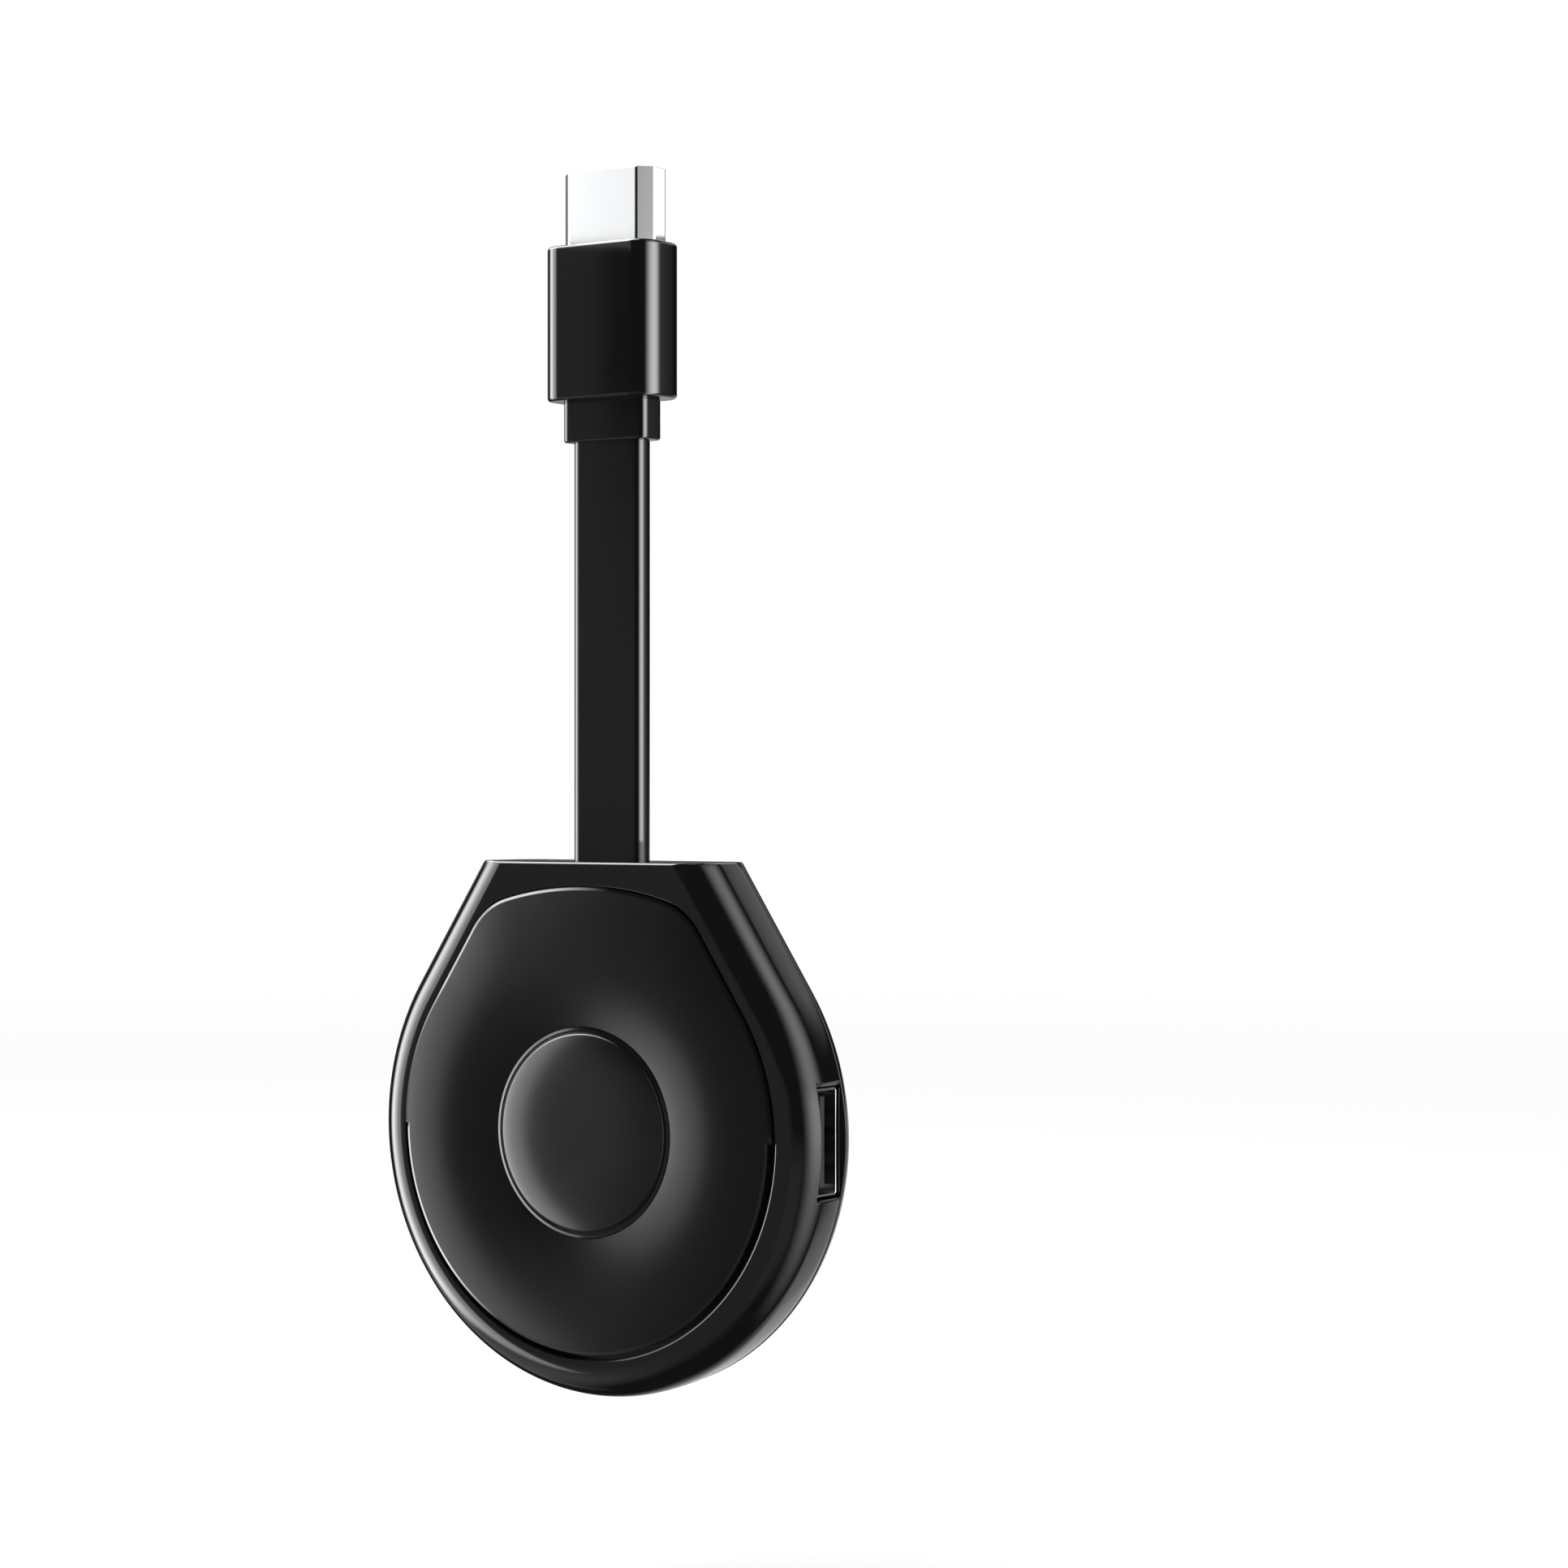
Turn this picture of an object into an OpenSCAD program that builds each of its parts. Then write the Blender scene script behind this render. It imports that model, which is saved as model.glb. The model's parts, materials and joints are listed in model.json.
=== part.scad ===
// Streaming media stick: a drop-shaped housing that hangs on a short flat cable from an HDMI plug.
// Millimetres, +Z up, front towards -Y. The origin is the middle of the plug cover's top shoulder.

/* [Plug] */
// Width of the metal plug shell
plug_w = 13.9; // [13:0.05:14.6]
// Thickness of the metal plug shell
plug_t = 4.45; // [4.2:0.05:4.8]
// Height of the metal plug shell above the shoulder
plug_h = 9.4; // [8:0.1:12]
// Size of the two chamfers on the narrow side of the plug shell
plug_chamfer = 1.7; // [1.2:0.1:2]
// Sheet thickness of the metal plug shell
plug_wall = 0.3; // [0.2:0.05:0.4]
// Length of the metal plug shell that is buried in the cover
plug_root = 7; // [4:0.5:9]
// Width of the moulded plug cover
cover_w = 16.9; // [16.4:0.1:20]
// Thickness of the moulded plug cover
cover_t = 8.6; // [7.6:0.1:12]
// Height of the moulded plug cover
cover_h = 19.6; // [17:0.1:26]
// Radius of the plug cover's upright edges
cover_r = 3; // [1:0.1:3.5]
// Wall of the plug cover
cover_wall = 1; // [0.6:0.1:1.5]
// Width of the strain relief collar
collar_w = 12.8; // [12.2:0.1:14]
// Thickness of the strain relief collar
collar_t = 4.5; // [4.2:0.1:6]
// Height of the strain relief collar below the cover
collar_h = 5.2; // [3:0.1:8]
// Radius of the collar's upright edges
collar_r = 1.1; // [0.5:0.1:1.6]

/* [Cable] */
// Width of the flat cable
cable_w = 10.7; // [9:0.1:11.4]
// Thickness of the flat cable
cable_t = 3.2; // [2.6:0.1:3.4]
// Radius of the flat cable's edges
cable_r = 1.3; // [0.6:0.05:1.3]
// Free length of the flat cable between the collar and the housing
cable_len = 53.1; // [30:0.1:90]

/* [Housing] */
// Radius of the round part of the housing
housing_r = 33.5; // [32:0.1:38]
// Height of the flat top above the top of the round part's circle
shoulder_rise = 0.4; // [0.2:0.1:5.5]
// Width of the flat top
shoulder_w = 35.8; // [28:0.1:44]
// Depth of the housing in front of the cable's middle plane
front_depth = 5.5; // [5.2:0.1:8]
// Depth of the housing behind the cable's middle plane
back_depth = 6.1; // [5.8:0.1:8]
// Depth of the rear shell, from the parting line to the back face
rear_depth = 3.5; // [3:0.1:3.6]
// Radius of the housing's front edge
edge_front_r = 3.8; // [3:0.1:4.2]
// Wall thickness of both shells
wall = 1.5; // [1.2:0.1:1.7]

/* [Face] */
// Distance from the housing's edge in to the round part of the face panel
panel_margin = 5.1; // [4.5:0.1:7.5]
// Radius of the arc along the panel's top edge
panel_top_r = 46; // [42:1:60]
// Distance from the housing's flat top down to the middle of the panel's top edge
panel_top_gap = 3.2; // [3:0.1:6]
// Radius of the panel's two upper corners
panel_corner_r = 9; // [2:0.1:12]
// Depth of the recess that the panel lies in
recess_depth = 0.7; // [0.4:0.1:0.9]
// Width of the groove round the upper half of the panel
groove_w = 0.5; // [0.3:0.05:0.8]
// Extra width of the groove round the lower half
groove_step = 0.45; // [0.2:0.05:0.8]
// Radius at which the ring-shaped swell of the panel is highest
crest_r = 21; // [19:0.5:24]
// Height of the crest above the shell's front face
crest_rise = 1.45; // [1:0.05:2]
// Fall from the crest to the edge of the panel
edge_fall = 0.55; // [0.2:0.05:0.8]
// Fall from the crest to the centre disc
disc_fall = 0.85; // [0.4:0.05:1]
// Radius of the centre disc
disc_r = 13.2; // [10:0.1:15]
// Width of the bevel round the centre disc
disc_bevel = 0.6; // [0.3:0.05:1]
// Rise of the disc's shallow dome
disc_dome = 0.5; // [0.3:0.05:0.7]

/* [Ports] */
// Height of the data port's metal shell
usb_h = 13.3; // [13:0.1:13.6]
// Thickness of the data port's metal shell
usb_t = 5.3; // [5:0.1:5.4]
// Length of the data port's metal shell
usb_len = 14; // [12:0.5:16]
// Sheet thickness of the data port's metal shell
usb_wall = 0.35; // [0.25:0.05:0.45]
// Depth of the data port's mouth inside the housing's side
usb_inset = 1.3; // [0.5:0.1:2]
// Thickness of the data port's tongue
usb_tongue_t = 1; // [0.9:0.1:1.8]
// Long side of the power inlet's oval shell
inlet_w = 8.9; // [8.7:0.05:9.1]
// Short side of the power inlet's oval shell
inlet_t = 3.2; // [3:0.05:3.4]
// Length of the power inlet
inlet_len = 7.4; // [6:0.1:8]
// Sheet thickness of the power inlet's shell
inlet_wall = 0.3; // [0.2:0.05:0.4]
// Radius of the reset button
button_r = 1.1; // [0.8:0.05:1.2]
// Travel of the reset button
button_travel = 0.4; // [0.2:0.05:0.5]
// Radius of the status light's window
window_r = 1; // [0.6:0.1:1.4]

/* [Inside] */
// Thickness of the circuit board
board_t = 1; // [0.8:0.1:1.2]
// Depth of the circuit board's front face behind the cable's middle plane
board_depth = 0.6; // [0.4:0.1:0.8]
// Side of the main processor
soc_side = 14; // [12:0.5:16]
// Height of a chip above the board
chip_h = 1.1; // [0.8:0.1:1.2]
// Thickness of the thermal pad
pad_t = 0.8; // [0.5:0.1:1]
// Number of fins on the heat sink
fin_count = 9; // [5:1:11]
// Number of vent slots in the rear shell
vent_count = 7; // [3:2:9]

/* [Hidden] */
$fn = 96;

// Gap between pieces that are assembled, overrun of a cut, and the smallest inner fillet
fit = 0.1;
over = 1;
least_fillet = 0.3;

// Height of the housing's flat top above the middle of its round part, and radius of the face panel
housing_drop = housing_r + shoulder_rise;
panel_r = housing_r - panel_margin;

// Heights of the main levels below the shoulder
collar_z = -cover_h;
cable_z = collar_z - collar_h;
top_z = cable_z - cable_len;
centre_z = top_z - housing_drop;

// Plug: insulator slot, contacts and the parts hidden in the cover
slot_w = 11.2;
slot_t = 1.9;
slot_depth = 6.8;
insulator_inset = 0.8;
contact_w = 0.45;
contact_t = 0.2;
contact_len = 5.6;
contact_pitch = 1;
contact_top_gap = 0.6;
contact_back_count = 10;
contact_front_count = 9;
cover_floor = 1.2;
collar_neck_inset = 0.4;
collar_flange_h = 1.4;
collar_flange_grow = 0.9;
cable_root = 4;

// Housing: levels along the depth, measured towards the front from the cable's middle plane
part_level = rear_depth - back_depth;
cavity_front = front_depth - wall;
cavity_back = wall - back_depth;
recess_level = front_depth - recess_depth;
side_reach = norm([shoulder_w / 2, housing_drop]);
side_angle = atan(shoulder_w / 2 / housing_drop) + acos(housing_r / side_reach);
lip_h = 1;
lip_t = 0.8;

// Face panel: fall of the swell on each side of its crest, as arcs
crest_level = front_depth + crest_rise;
outer_run = panel_r - crest_r;
inner_run = crest_r - disc_r;
outer_arc_r = (pow(outer_run, 2) + pow(edge_fall, 2)) / (2 * edge_fall);
inner_arc_r = (pow(inner_run, 2) + pow(disc_fall, 2)) / (2 * disc_fall);
disc_level = crest_level - disc_fall;
disc_face_r = disc_r - disc_bevel;
disc_bevel_h = 0.15;
disc_seat_t = 0.5;
dome_r = (pow(disc_face_r, 2) + pow(disc_dome, 2)) / (2 * disc_dome);
panel_top = housing_drop - panel_top_gap;
corner_steps = 10;
arch_steps = 8;
swell_fn = 360;

// Circuit board: its levels, its outline and its screws, two near the top corners and two lower down
board_level = -board_depth;
board_back = board_level - board_t;
board_gap = 0.5;
board_inset = wall + fit + lip_t + board_gap;
board_r = housing_r - board_inset;
board_top_gap = 8.5;
board_top = housing_drop - board_top_gap;
board_half_top = (board_r - board_top * cos(side_angle)) / sin(side_angle);
screw_r = 0.9;
screw_clear = 0.15;
screw_head_r = 1.8;
screw_head_h = 1;
screw_len = 4.6;
boss_r = 2.2;
boss_hole_depth = 4;
screw_margin = 4.6;
screw_low_margin = 3.4;
screw_low_angle = 40;
screw_right_places = [
  [board_half_top - screw_margin, board_top - screw_margin],
  (board_r - screw_low_margin) * [cos(screw_low_angle), -sin(screw_low_angle)]
];
screw_places = [for (sx = [-1, 1], p = screw_right_places) [sx * p.x, p.y]];

// Data port on the right side, sunk into a notch of the board
usb_mouth = housing_r - usb_inset;
usb_level = 0.35;
usb_tongue_inset = 0.5;
usb_tongue_h = 11.1;
usb_base_len = 3;
usb_contact_w = 1;
usb_contact_t = 0.15;
usb_contact_len = 7.4;
usb_contact_inset = 0.5;
usb_contact_places = [-3.5, -1, 1, 3.5];
usb_gap = 0.25;

// Power inlet on the left side
inlet_inset = 0.9;
inlet_mouth = housing_r - inlet_inset;
inlet_level = board_level + inlet_t / 2;
inlet_tongue_t = 0.7;
inlet_tongue_w = 6.6;
inlet_base_len = 2;
inlet_tongue_inset = 0.6;
inlet_contact_w = 0.3;
inlet_contact_t = 0.1;
inlet_contact_len = 3;
inlet_contact_pitch = 0.75;
inlet_contact_count = 8;

// Reset button and status light, on rays from the middle of the housing
button_angle = 28;
button_rise = 0.7;
button_level = board_level + button_rise;
button_flange_grow = 0.4;
button_flange_r = button_r + button_flange_grow;
button_flange_t = 0.7;
button_sink = 0.2;
switch_w = 4;
switch_t = 2.8;
switch_len = 2.6;
switch_nub_r = 0.6;
switch_nub_len = 0.6;
window_angle = -24;
window_rise = 1.2;
window_level = board_level + window_rise;
window_len = 3.2;
window_flange_grow = 0.5;
window_flange_r = window_r + window_flange_grow;
window_flange_t = 0.6;
light_w = 1.6;
light_len = 1.2;
light_h = 2;

// Cable end in the housing
anchor_grip = 1.6;
anchor_h = 2.4;
anchor_t = 5.4;
rib_t = 1.2;
tail_len = 3;
wires_w = 9.2;
wires_t = 0.6;
header_w = 12;
header_len = 2.4;
header_h = 1.4;

// Chips and small parts on the board: shares of the board's radius as [x, up] give their places
chip_gap = 2;
soc_share = 0.23;
soc_up = soc_share * board_r;
memory_w = 8;
memory_len = 11;
memory_up = soc_up - soc_side / 2 - chip_gap - memory_len / 2;
flash_w = 11.5;
flash_len = 13;
power_side = 5;
power_shares = [-0.57, -0.2];
wireless_side = 12;
wireless_len = 8;
wireless_h = 1.8;
wireless_margin = 6;
wireless_up = wireless_margin - board_r;
crystal_w = 3.2;
crystal_len = 2.5;
crystal_h = 0.8;
crystal_shares = [0.38, 0.54];
heat_sink_grow = 4;
heat_sink_base = 0.8;
heat_sink_gap = 0.4;
fin_t = 0.8;
coil_side = 4;
coil_h = 2;
coil_x = -(soc_side / 2 + heat_sink_grow + chip_gap + coil_side / 2);
coil_up_shares = [0.11, 0.31];
cap_r = 1.6;
cap_h = 2.6;
cap_shares = [[-0.63, -0.38], [-0.49, -0.38], [0.49, -0.38], [0.63, -0.38]];
antenna_t = 0.2;
antenna_w = 3.2;
antenna_sweep = 70;

// Vent slots in the middle of the back face
vent_w = 1.2;
vent_len = 18;
vent_pitch = 3.4;

// Moves into the housing's own frame: x to the right, y up, z towards the front
module at_housing() {
  translate([0, 0, centre_z]) rotate([90, 0, 0]) children();
}

// A rectangle with round corners, centred
module rounded_rect(w, t, r) {
  square([w - 2 * r, t], center = true);
  square([w, t - 2 * r], center = true);
  for (sx = [-1, 1], sy = [-1, 1]) translate([sx * (w / 2 - r), sy * (t / 2 - r)]) circle(r);
}

// A slot shape with fully round ends, centred and long in x
module oval(w, t) {
  square([w - t, t], center = true);
  for (sx = [-1, 1]) translate([sx * (w - t) / 2, 0]) circle(t / 2);
}

// The plug's outline: a rectangle with two chamfers on its narrow side, moved in by inset
module plug_outline(inset) {
  half_w = plug_w / 2 - inset;
  half_t = plug_t / 2 - inset;
  cut = plug_chamfer - inset * (2 - sqrt(2));
  polygon([
    [-half_w, half_t], [half_w, half_t], [half_w, cut - half_t], [half_w - cut, -half_t],
    [cut - half_w, -half_t], [-half_w, cut - half_t]
  ]);
}

// Half section of the housing's rim, from radius start out to the edge, moved in by inset
module rim_profile(inset, start) {
  edge = housing_r - inset;
  front = front_depth - inset;
  back = inset - back_depth;
  front_r = max(edge_front_r - inset, least_fillet);
  back_r = max(rear_depth - inset, least_fillet);
  translate([start, back + back_r]) square([edge - start, front - front_r - back - back_r]);
  translate([start, back]) square([edge - back_r - start, back_r]);
  translate([start, front - front_r]) square([edge - front_r - start, front_r]);
  translate([edge - front_r, front - front_r]) circle(front_r);
  translate([edge - back_r, back + back_r]) circle(back_r);
}

// One straight side of the housing, with its rounded edge, from the tangent point upwards
module side_slab(inset) {
  rotate([0, 0, 90 - side_angle]) rotate([90, 0, 0]) translate([0, 0, -2 * housing_r])
    linear_extrude(2 * housing_r) rim_profile(inset, -housing_r);
}

// The closed drop-shaped form of the housing, moved in by inset
module housing_form(inset) {
  rotate([0, 0, 90 + side_angle]) rotate_extrude(angle = 360 - 2 * side_angle) rim_profile(inset, 0);
  intersection() {
    side_slab(inset);
    mirror([1, 0, 0]) side_slab(inset);
    translate([-housing_r, 0, -back_depth])
      cube([2 * housing_r, housing_drop - inset, front_depth + back_depth]);
  }
}

// Flat outline of the drop, moved in by inset and cut off at the height top
module drop_outline(inset, top) {
  r = housing_r - inset;
  low = r * [sin(side_angle), cos(side_angle)];
  high = top + over;
  half_high = (r - high * cos(side_angle)) / sin(side_angle);
  intersection() {
    union() {
      circle(r);
      polygon([[0, 0], low, [half_high, high], [-half_high, high], [-low.x, low.y]]);
    }
    translate([-housing_r, -housing_r]) square([2 * housing_r, housing_r + top]);
  }
}

// Points along an arc, from angle a to angle b, in steps
function arc_points(centre, r, a, b, steps) =
  [for (i = [0 : steps]) let (t = a + (b - a) * i / steps) centre + r * [cos(t), sin(t)]];

// Outline of the face panel grown by grow: a circle, two straight sides, round corners, an arched top
module panel_outline(grow) {
  corner = panel_corner_r + grow;
  arch_r = panel_top_r + grow;
  arch_y = panel_top - panel_top_r;
  normal = [sin(side_angle), cos(side_angle)];
  along = [-cos(side_angle), sin(side_angle)];
  // The corner's centre lies inside the straight side and inside the arch by the corner radius
  base = (panel_r - panel_corner_r) * normal - [0, arch_y];
  half_b = base * along;
  run = -half_b + sqrt(pow(half_b, 2) - base * base + pow(panel_top_r - panel_corner_r, 2));
  centre = (panel_r - panel_corner_r) * normal + run * along;
  arch_angle = atan2(centre.y - arch_y, centre.x);
  right = concat([(panel_r + grow) * normal],
                 arc_points(centre, corner, 90 - side_angle, arch_angle, corner_steps),
                 arc_points([0, arch_y], arch_r, arch_angle, 90, arch_steps));
  count = len(right);
  circle(panel_r + grow);
  polygon(concat([[0, 0]], right, [for (i = [count - 2 : -1 : 0]) [-right[i].x, right[i].y]]));
}

// A block on the board, standing towards the front by height
module on_board(x, up, w, len, height) {
  translate([x - w / 2, up - len / 2, board_level]) cube([w, len, height]);
}

// A block on the back of the board
module under_board(x, up, w, len, height) {
  translate([x - w / 2, up - len / 2, board_back - height]) cube([w, len, height]);
}

// Moves to the left rim on a ray at angle below the level, with x pointing out along the ray
module on_left_ray(angle, level) {
  rotate([0, 0, 180 + angle]) translate([0, 0, level]) rotate([0, 90, 0]) children();
}

module plug_shell() {
  color("silver") translate([0, 0, -plug_root]) difference() {
    linear_extrude(plug_root + plug_h) plug_outline(0);
    translate([0, 0, -over]) linear_extrude(plug_root + plug_h + 2 * over) plug_outline(plug_wall);
  }
}

module plug_insulator() {
  color("#202124") difference() {
    translate([0, 0, -plug_root]) linear_extrude(plug_root + plug_h - insulator_inset)
      plug_outline(plug_wall);
    translate([-slot_w / 2, -slot_t / 2, plug_h - insulator_inset - slot_depth])
      cube([slot_w, slot_t, slot_depth + over]);
  }
}

module contact_row(count, side) {
  for (i = [0 : count - 1])
    translate([(i - (count - 1) / 2) * contact_pitch - contact_w / 2,
               side > 0 ? slot_t / 2 - contact_t : -slot_t / 2,
               plug_h - insulator_inset - contact_top_gap - contact_len])
      cube([contact_w, contact_t, contact_len]);
}

module plug_contacts() {
  color("gold") {
    contact_row(contact_back_count, 1);
    contact_row(contact_front_count, -1);
  }
}

// Size of the space inside the plug cover
inner_w = cover_w - 2 * cover_wall;
inner_t = cover_t - 2 * cover_wall;
inner_r = max(cover_r - cover_wall, least_fillet);
flange_w = collar_w + collar_flange_grow;
flange_t = collar_t + collar_flange_grow;

module plug_inner_mould() {
  color("dimgray") difference() {
    translate([0, 0, collar_z + cover_floor + collar_flange_h])
      linear_extrude(cover_h - cover_floor - collar_flange_h - cover_wall)
        rounded_rect(inner_w, inner_t, inner_r);
    translate([0, 0, -plug_root]) linear_extrude(plug_root + over) plug_outline(0);
    translate([0, 0, collar_z]) linear_extrude(cover_floor + collar_flange_h + cable_root)
      rounded_rect(cable_w, cable_t, cable_r);
  }
}

module plug_cover() {
  color("#1b1c1e") difference() {
    translate([0, 0, collar_z]) linear_extrude(cover_h) rounded_rect(cover_w, cover_t, cover_r);
    translate([0, 0, collar_z + cover_floor]) linear_extrude(cover_h - cover_floor - cover_wall)
      rounded_rect(inner_w, inner_t, inner_r);
    translate([0, 0, -cover_wall - over]) linear_extrude(cover_wall + 2 * over) plug_outline(0);
    translate([0, 0, collar_z - over]) linear_extrude(cover_floor + 2 * over)
      rounded_rect(collar_w - 2 * collar_neck_inset, collar_t - 2 * collar_neck_inset,
                   collar_r - collar_neck_inset);
  }
}

module strain_relief() {
  neck_w = collar_w - 2 * collar_neck_inset;
  neck_t = collar_t - 2 * collar_neck_inset;
  color("#1b1c1e") difference() {
    union() {
      translate([0, 0, cable_z]) linear_extrude(collar_h) rounded_rect(collar_w, collar_t, collar_r);
      translate([0, 0, collar_z]) linear_extrude(cover_floor)
        rounded_rect(neck_w, neck_t, collar_r - collar_neck_inset);
      translate([0, 0, collar_z + cover_floor]) linear_extrude(collar_flange_h)
        rounded_rect(flange_w, flange_t, collar_r);
    }
    translate([0, 0, cable_z - over])
      linear_extrude(collar_h + cover_floor + collar_flange_h + 2 * over)
        rounded_rect(cable_w, cable_t, cable_r);
  }
}

module flat_cable() {
  color("#17181a") translate([0, 0, top_z])
    linear_extrude(cable_len + collar_h + cover_floor + collar_flange_h + cable_root)
      rounded_rect(cable_w, cable_t, cable_r);
}

// The moulded stop on the cable's end, with the jacket that fills the slot in the housing's top
module cable_anchor() {
  color("#17181a") at_housing() rotate([-90, 0, 0]) {
    translate([0, 0, housing_drop - wall - fit]) linear_extrude(wall + fit)
      rounded_rect(cable_w, cable_t, cable_r);
    translate([0, 0, housing_drop - wall - fit - anchor_h]) linear_extrude(anchor_h)
      rounded_rect(cable_w + 2 * anchor_grip, anchor_t, cable_r);
    translate([0, 0, housing_drop - wall - fit - anchor_h - tail_len]) linear_extrude(tail_len)
      rounded_rect(cable_w, cable_t, cable_r);
  }
}

tail_end = housing_drop - wall - fit - anchor_h - tail_len;
header_up = board_top - header_len;

module cable_wires() {
  color("peru") at_housing() translate([-wires_w / 2, header_up + header_len, -wires_t / 2])
    cube([wires_w, tail_end - header_up - header_len, wires_t]);
}

module cable_header() {
  color("ivory") at_housing() translate([-header_w / 2, header_up, board_level])
    cube([header_w, header_len, header_h]);
}

// Bosses that carry the board, on the inside of the front wall
module board_bosses() {
  for (p = screw_places) translate([p.x, p.y, board_level]) difference() {
    cylinder(h = cavity_front - board_level + wall / 3, r = boss_r);
    translate([0, 0, -over]) cylinder(h = boss_hole_depth + over, r = screw_r + fit / 2);
  }
}

// Two ribs that hold the cable's moulded stop
module anchor_ribs() {
  stop_w = cable_w + 2 * anchor_grip;
  rib_level = part_level + lip_h + fit;
  rib_h = cavity_front - rib_level + wall / 3;
  for (sx = [0, 1]) mirror([sx, 0, 0]) {
    translate([stop_w / 2 + fit, housing_drop - wall - fit - anchor_h, rib_level])
      cube([rib_t, anchor_h + wall, rib_h]);
    translate([cable_w / 2 + fit, housing_drop - wall - 2 * fit - anchor_h - rib_t, rib_level])
      cube([stop_w / 2 + rib_t - cable_w / 2, rib_t, rib_h]);
  }
}

// Side openings: data port on the right, power inlet, button and status light on the left
module side_cuts() {
  translate([housing_r - 3 * wall, -usb_h / 2 - usb_gap, part_level - over])
    cube([3 * wall + over, usb_h + 2 * usb_gap, usb_level + usb_t / 2 - part_level + over]);
  translate([-housing_r - over, 0, inlet_level]) rotate([0, 90, 0]) rotate([0, 0, 90])
    linear_extrude(3 * wall + over)
      oval(inlet_w + 2 * usb_gap, inlet_t + 2 * usb_gap);
  on_left_ray(button_angle, button_level)
    translate([0, 0, housing_r - 2 * wall]) cylinder(h = 2 * wall + over, r = button_r + fit);
  on_left_ray(window_angle, window_level)
    translate([0, 0, housing_r - 2 * wall]) cylinder(h = 2 * wall + over, r = window_r + fit / 2);
}

// Notch in the top wall that the cable is laid into
module cable_notch() {
  translate([0, housing_drop + over, 0]) rotate([90, 0, 0]) linear_extrude(3 * wall)
    rounded_rect(cable_w, cable_t, cable_r);
  translate([-cable_w / 2 + cable_r, housing_drop - 2 * wall, part_level - over])
    cube([cable_w - 2 * cable_r, 2 * wall + over, -part_level + over]);
}

module front_shell() {
  color("#1b1c1e") at_housing() {
    difference() {
      housing_form(0);
      housing_form(wall);
      translate([-2 * housing_r, -2 * housing_r, part_level - 2 * back_depth])
        cube([4 * housing_r, 4 * housing_r, 2 * back_depth]);
      translate([0, 0, recess_level]) linear_extrude(recess_depth + over) panel_outline(groove_w);
      side_cuts();
      cable_notch();
    }
    board_bosses();
    anchor_ribs();
  }
}

module vent_slots() {
  for (i = [0 : vent_count - 1])
    translate([-vent_len / 2, (i - (vent_count - 1) / 2) * vent_pitch - vent_w / 2, -back_depth - over])
      cube([vent_len, vent_w, wall + 2 * over]);
}

// Flat outline of the lip, from outer_inset to the lip's inner side
module lip_ring(outer_inset) {
  difference() {
    drop_outline(outer_inset, housing_drop - outer_inset);
    drop_outline(wall + fit + lip_t, housing_drop - wall - fit - lip_t);
  }
}

module rear_shell() {
  color("#1b1c1e") at_housing() difference() {
    union() {
      difference() {
        housing_form(0);
        housing_form(wall);
        translate([-2 * housing_r, -2 * housing_r, part_level])
          cube([4 * housing_r, 4 * housing_r, 2 * front_depth + back_depth]);
      }
      // The lip that locates the rear shell inside the front one, and its root in the rear wall
      translate([0, 0, part_level]) linear_extrude(lip_h) lip_ring(wall + fit);
      translate([0, 0, part_level - lip_h]) linear_extrude(lip_h) lip_ring(wall / 2);
      // The tab that closes the cable notch behind the cable
      translate([-cable_w / 2 + cable_r + fit, housing_drop - wall, part_level])
        cube([cable_w - 2 * cable_r - 2 * fit, wall, -cable_t / 2 - part_level]);
    }
    vent_slots();
    translate([housing_r - 3 * wall - usb_len, -usb_h / 2 - usb_gap, usb_level - usb_t / 2 - fit])
      cube([usb_len + 2 * wall, usb_h + 2 * usb_gap, usb_t]);
    translate([-cable_w / 2 - anchor_grip - fit, housing_drop - 4 * wall, -anchor_t / 2 - fit])
      cube([cable_w + 2 * anchor_grip + 2 * fit, 3 * wall - fit, anchor_t]);
  }
}

// Face panel: the flat outline cut by a ring-shaped swell, with a seat for the disc
module face_panel() {
  color("#222326") at_housing() difference() {
    intersection() {
      translate([0, 0, recess_level]) linear_extrude(crest_level - recess_level + over) union() {
        intersection() {
          panel_outline(0);
          translate([-2 * panel_r, 0]) square([4 * panel_r, 2 * panel_r]);
        }
        circle(panel_r - groove_step);
      }
      rotate_extrude() intersection() {
        union() {
          intersection() {
            translate([crest_r, crest_level - outer_arc_r]) circle(outer_arc_r, $fn = swell_fn);
            translate([crest_r, 0]) square([panel_r, crest_level + over]);
          }
          intersection() {
            translate([crest_r, crest_level - inner_arc_r]) circle(inner_arc_r, $fn = swell_fn);
            square([crest_r, crest_level + over]);
          }
          translate([0, recess_level]) square([crest_r, disc_seat_t]);
        }
        translate([0, recess_level]) square([2 * panel_r, crest_level]);
      }
    }
    translate([0, 0, recess_level + disc_seat_t]) cylinder(h = crest_level, r = disc_r + fit);
  }
}

// Centre disc: a shallow dome inside a narrow bevel, with nothing on it
module centre_disc() {
  color("#1b1c1e") at_housing() rotate_extrude() {
    translate([0, recess_level + disc_seat_t])
      square([disc_r, disc_level - recess_level - disc_seat_t]);
    polygon([[0, disc_level], [disc_r, disc_level], [disc_face_r, disc_level + disc_bevel_h],
             [0, disc_level + disc_bevel_h]]);
    intersection() {
      translate([0, disc_level + disc_bevel_h + disc_dome - dome_r]) circle(dome_r, $fn = swell_fn);
      translate([0, disc_level + disc_bevel_h]) square([disc_face_r, disc_dome + over]);
    }
  }
}

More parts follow.
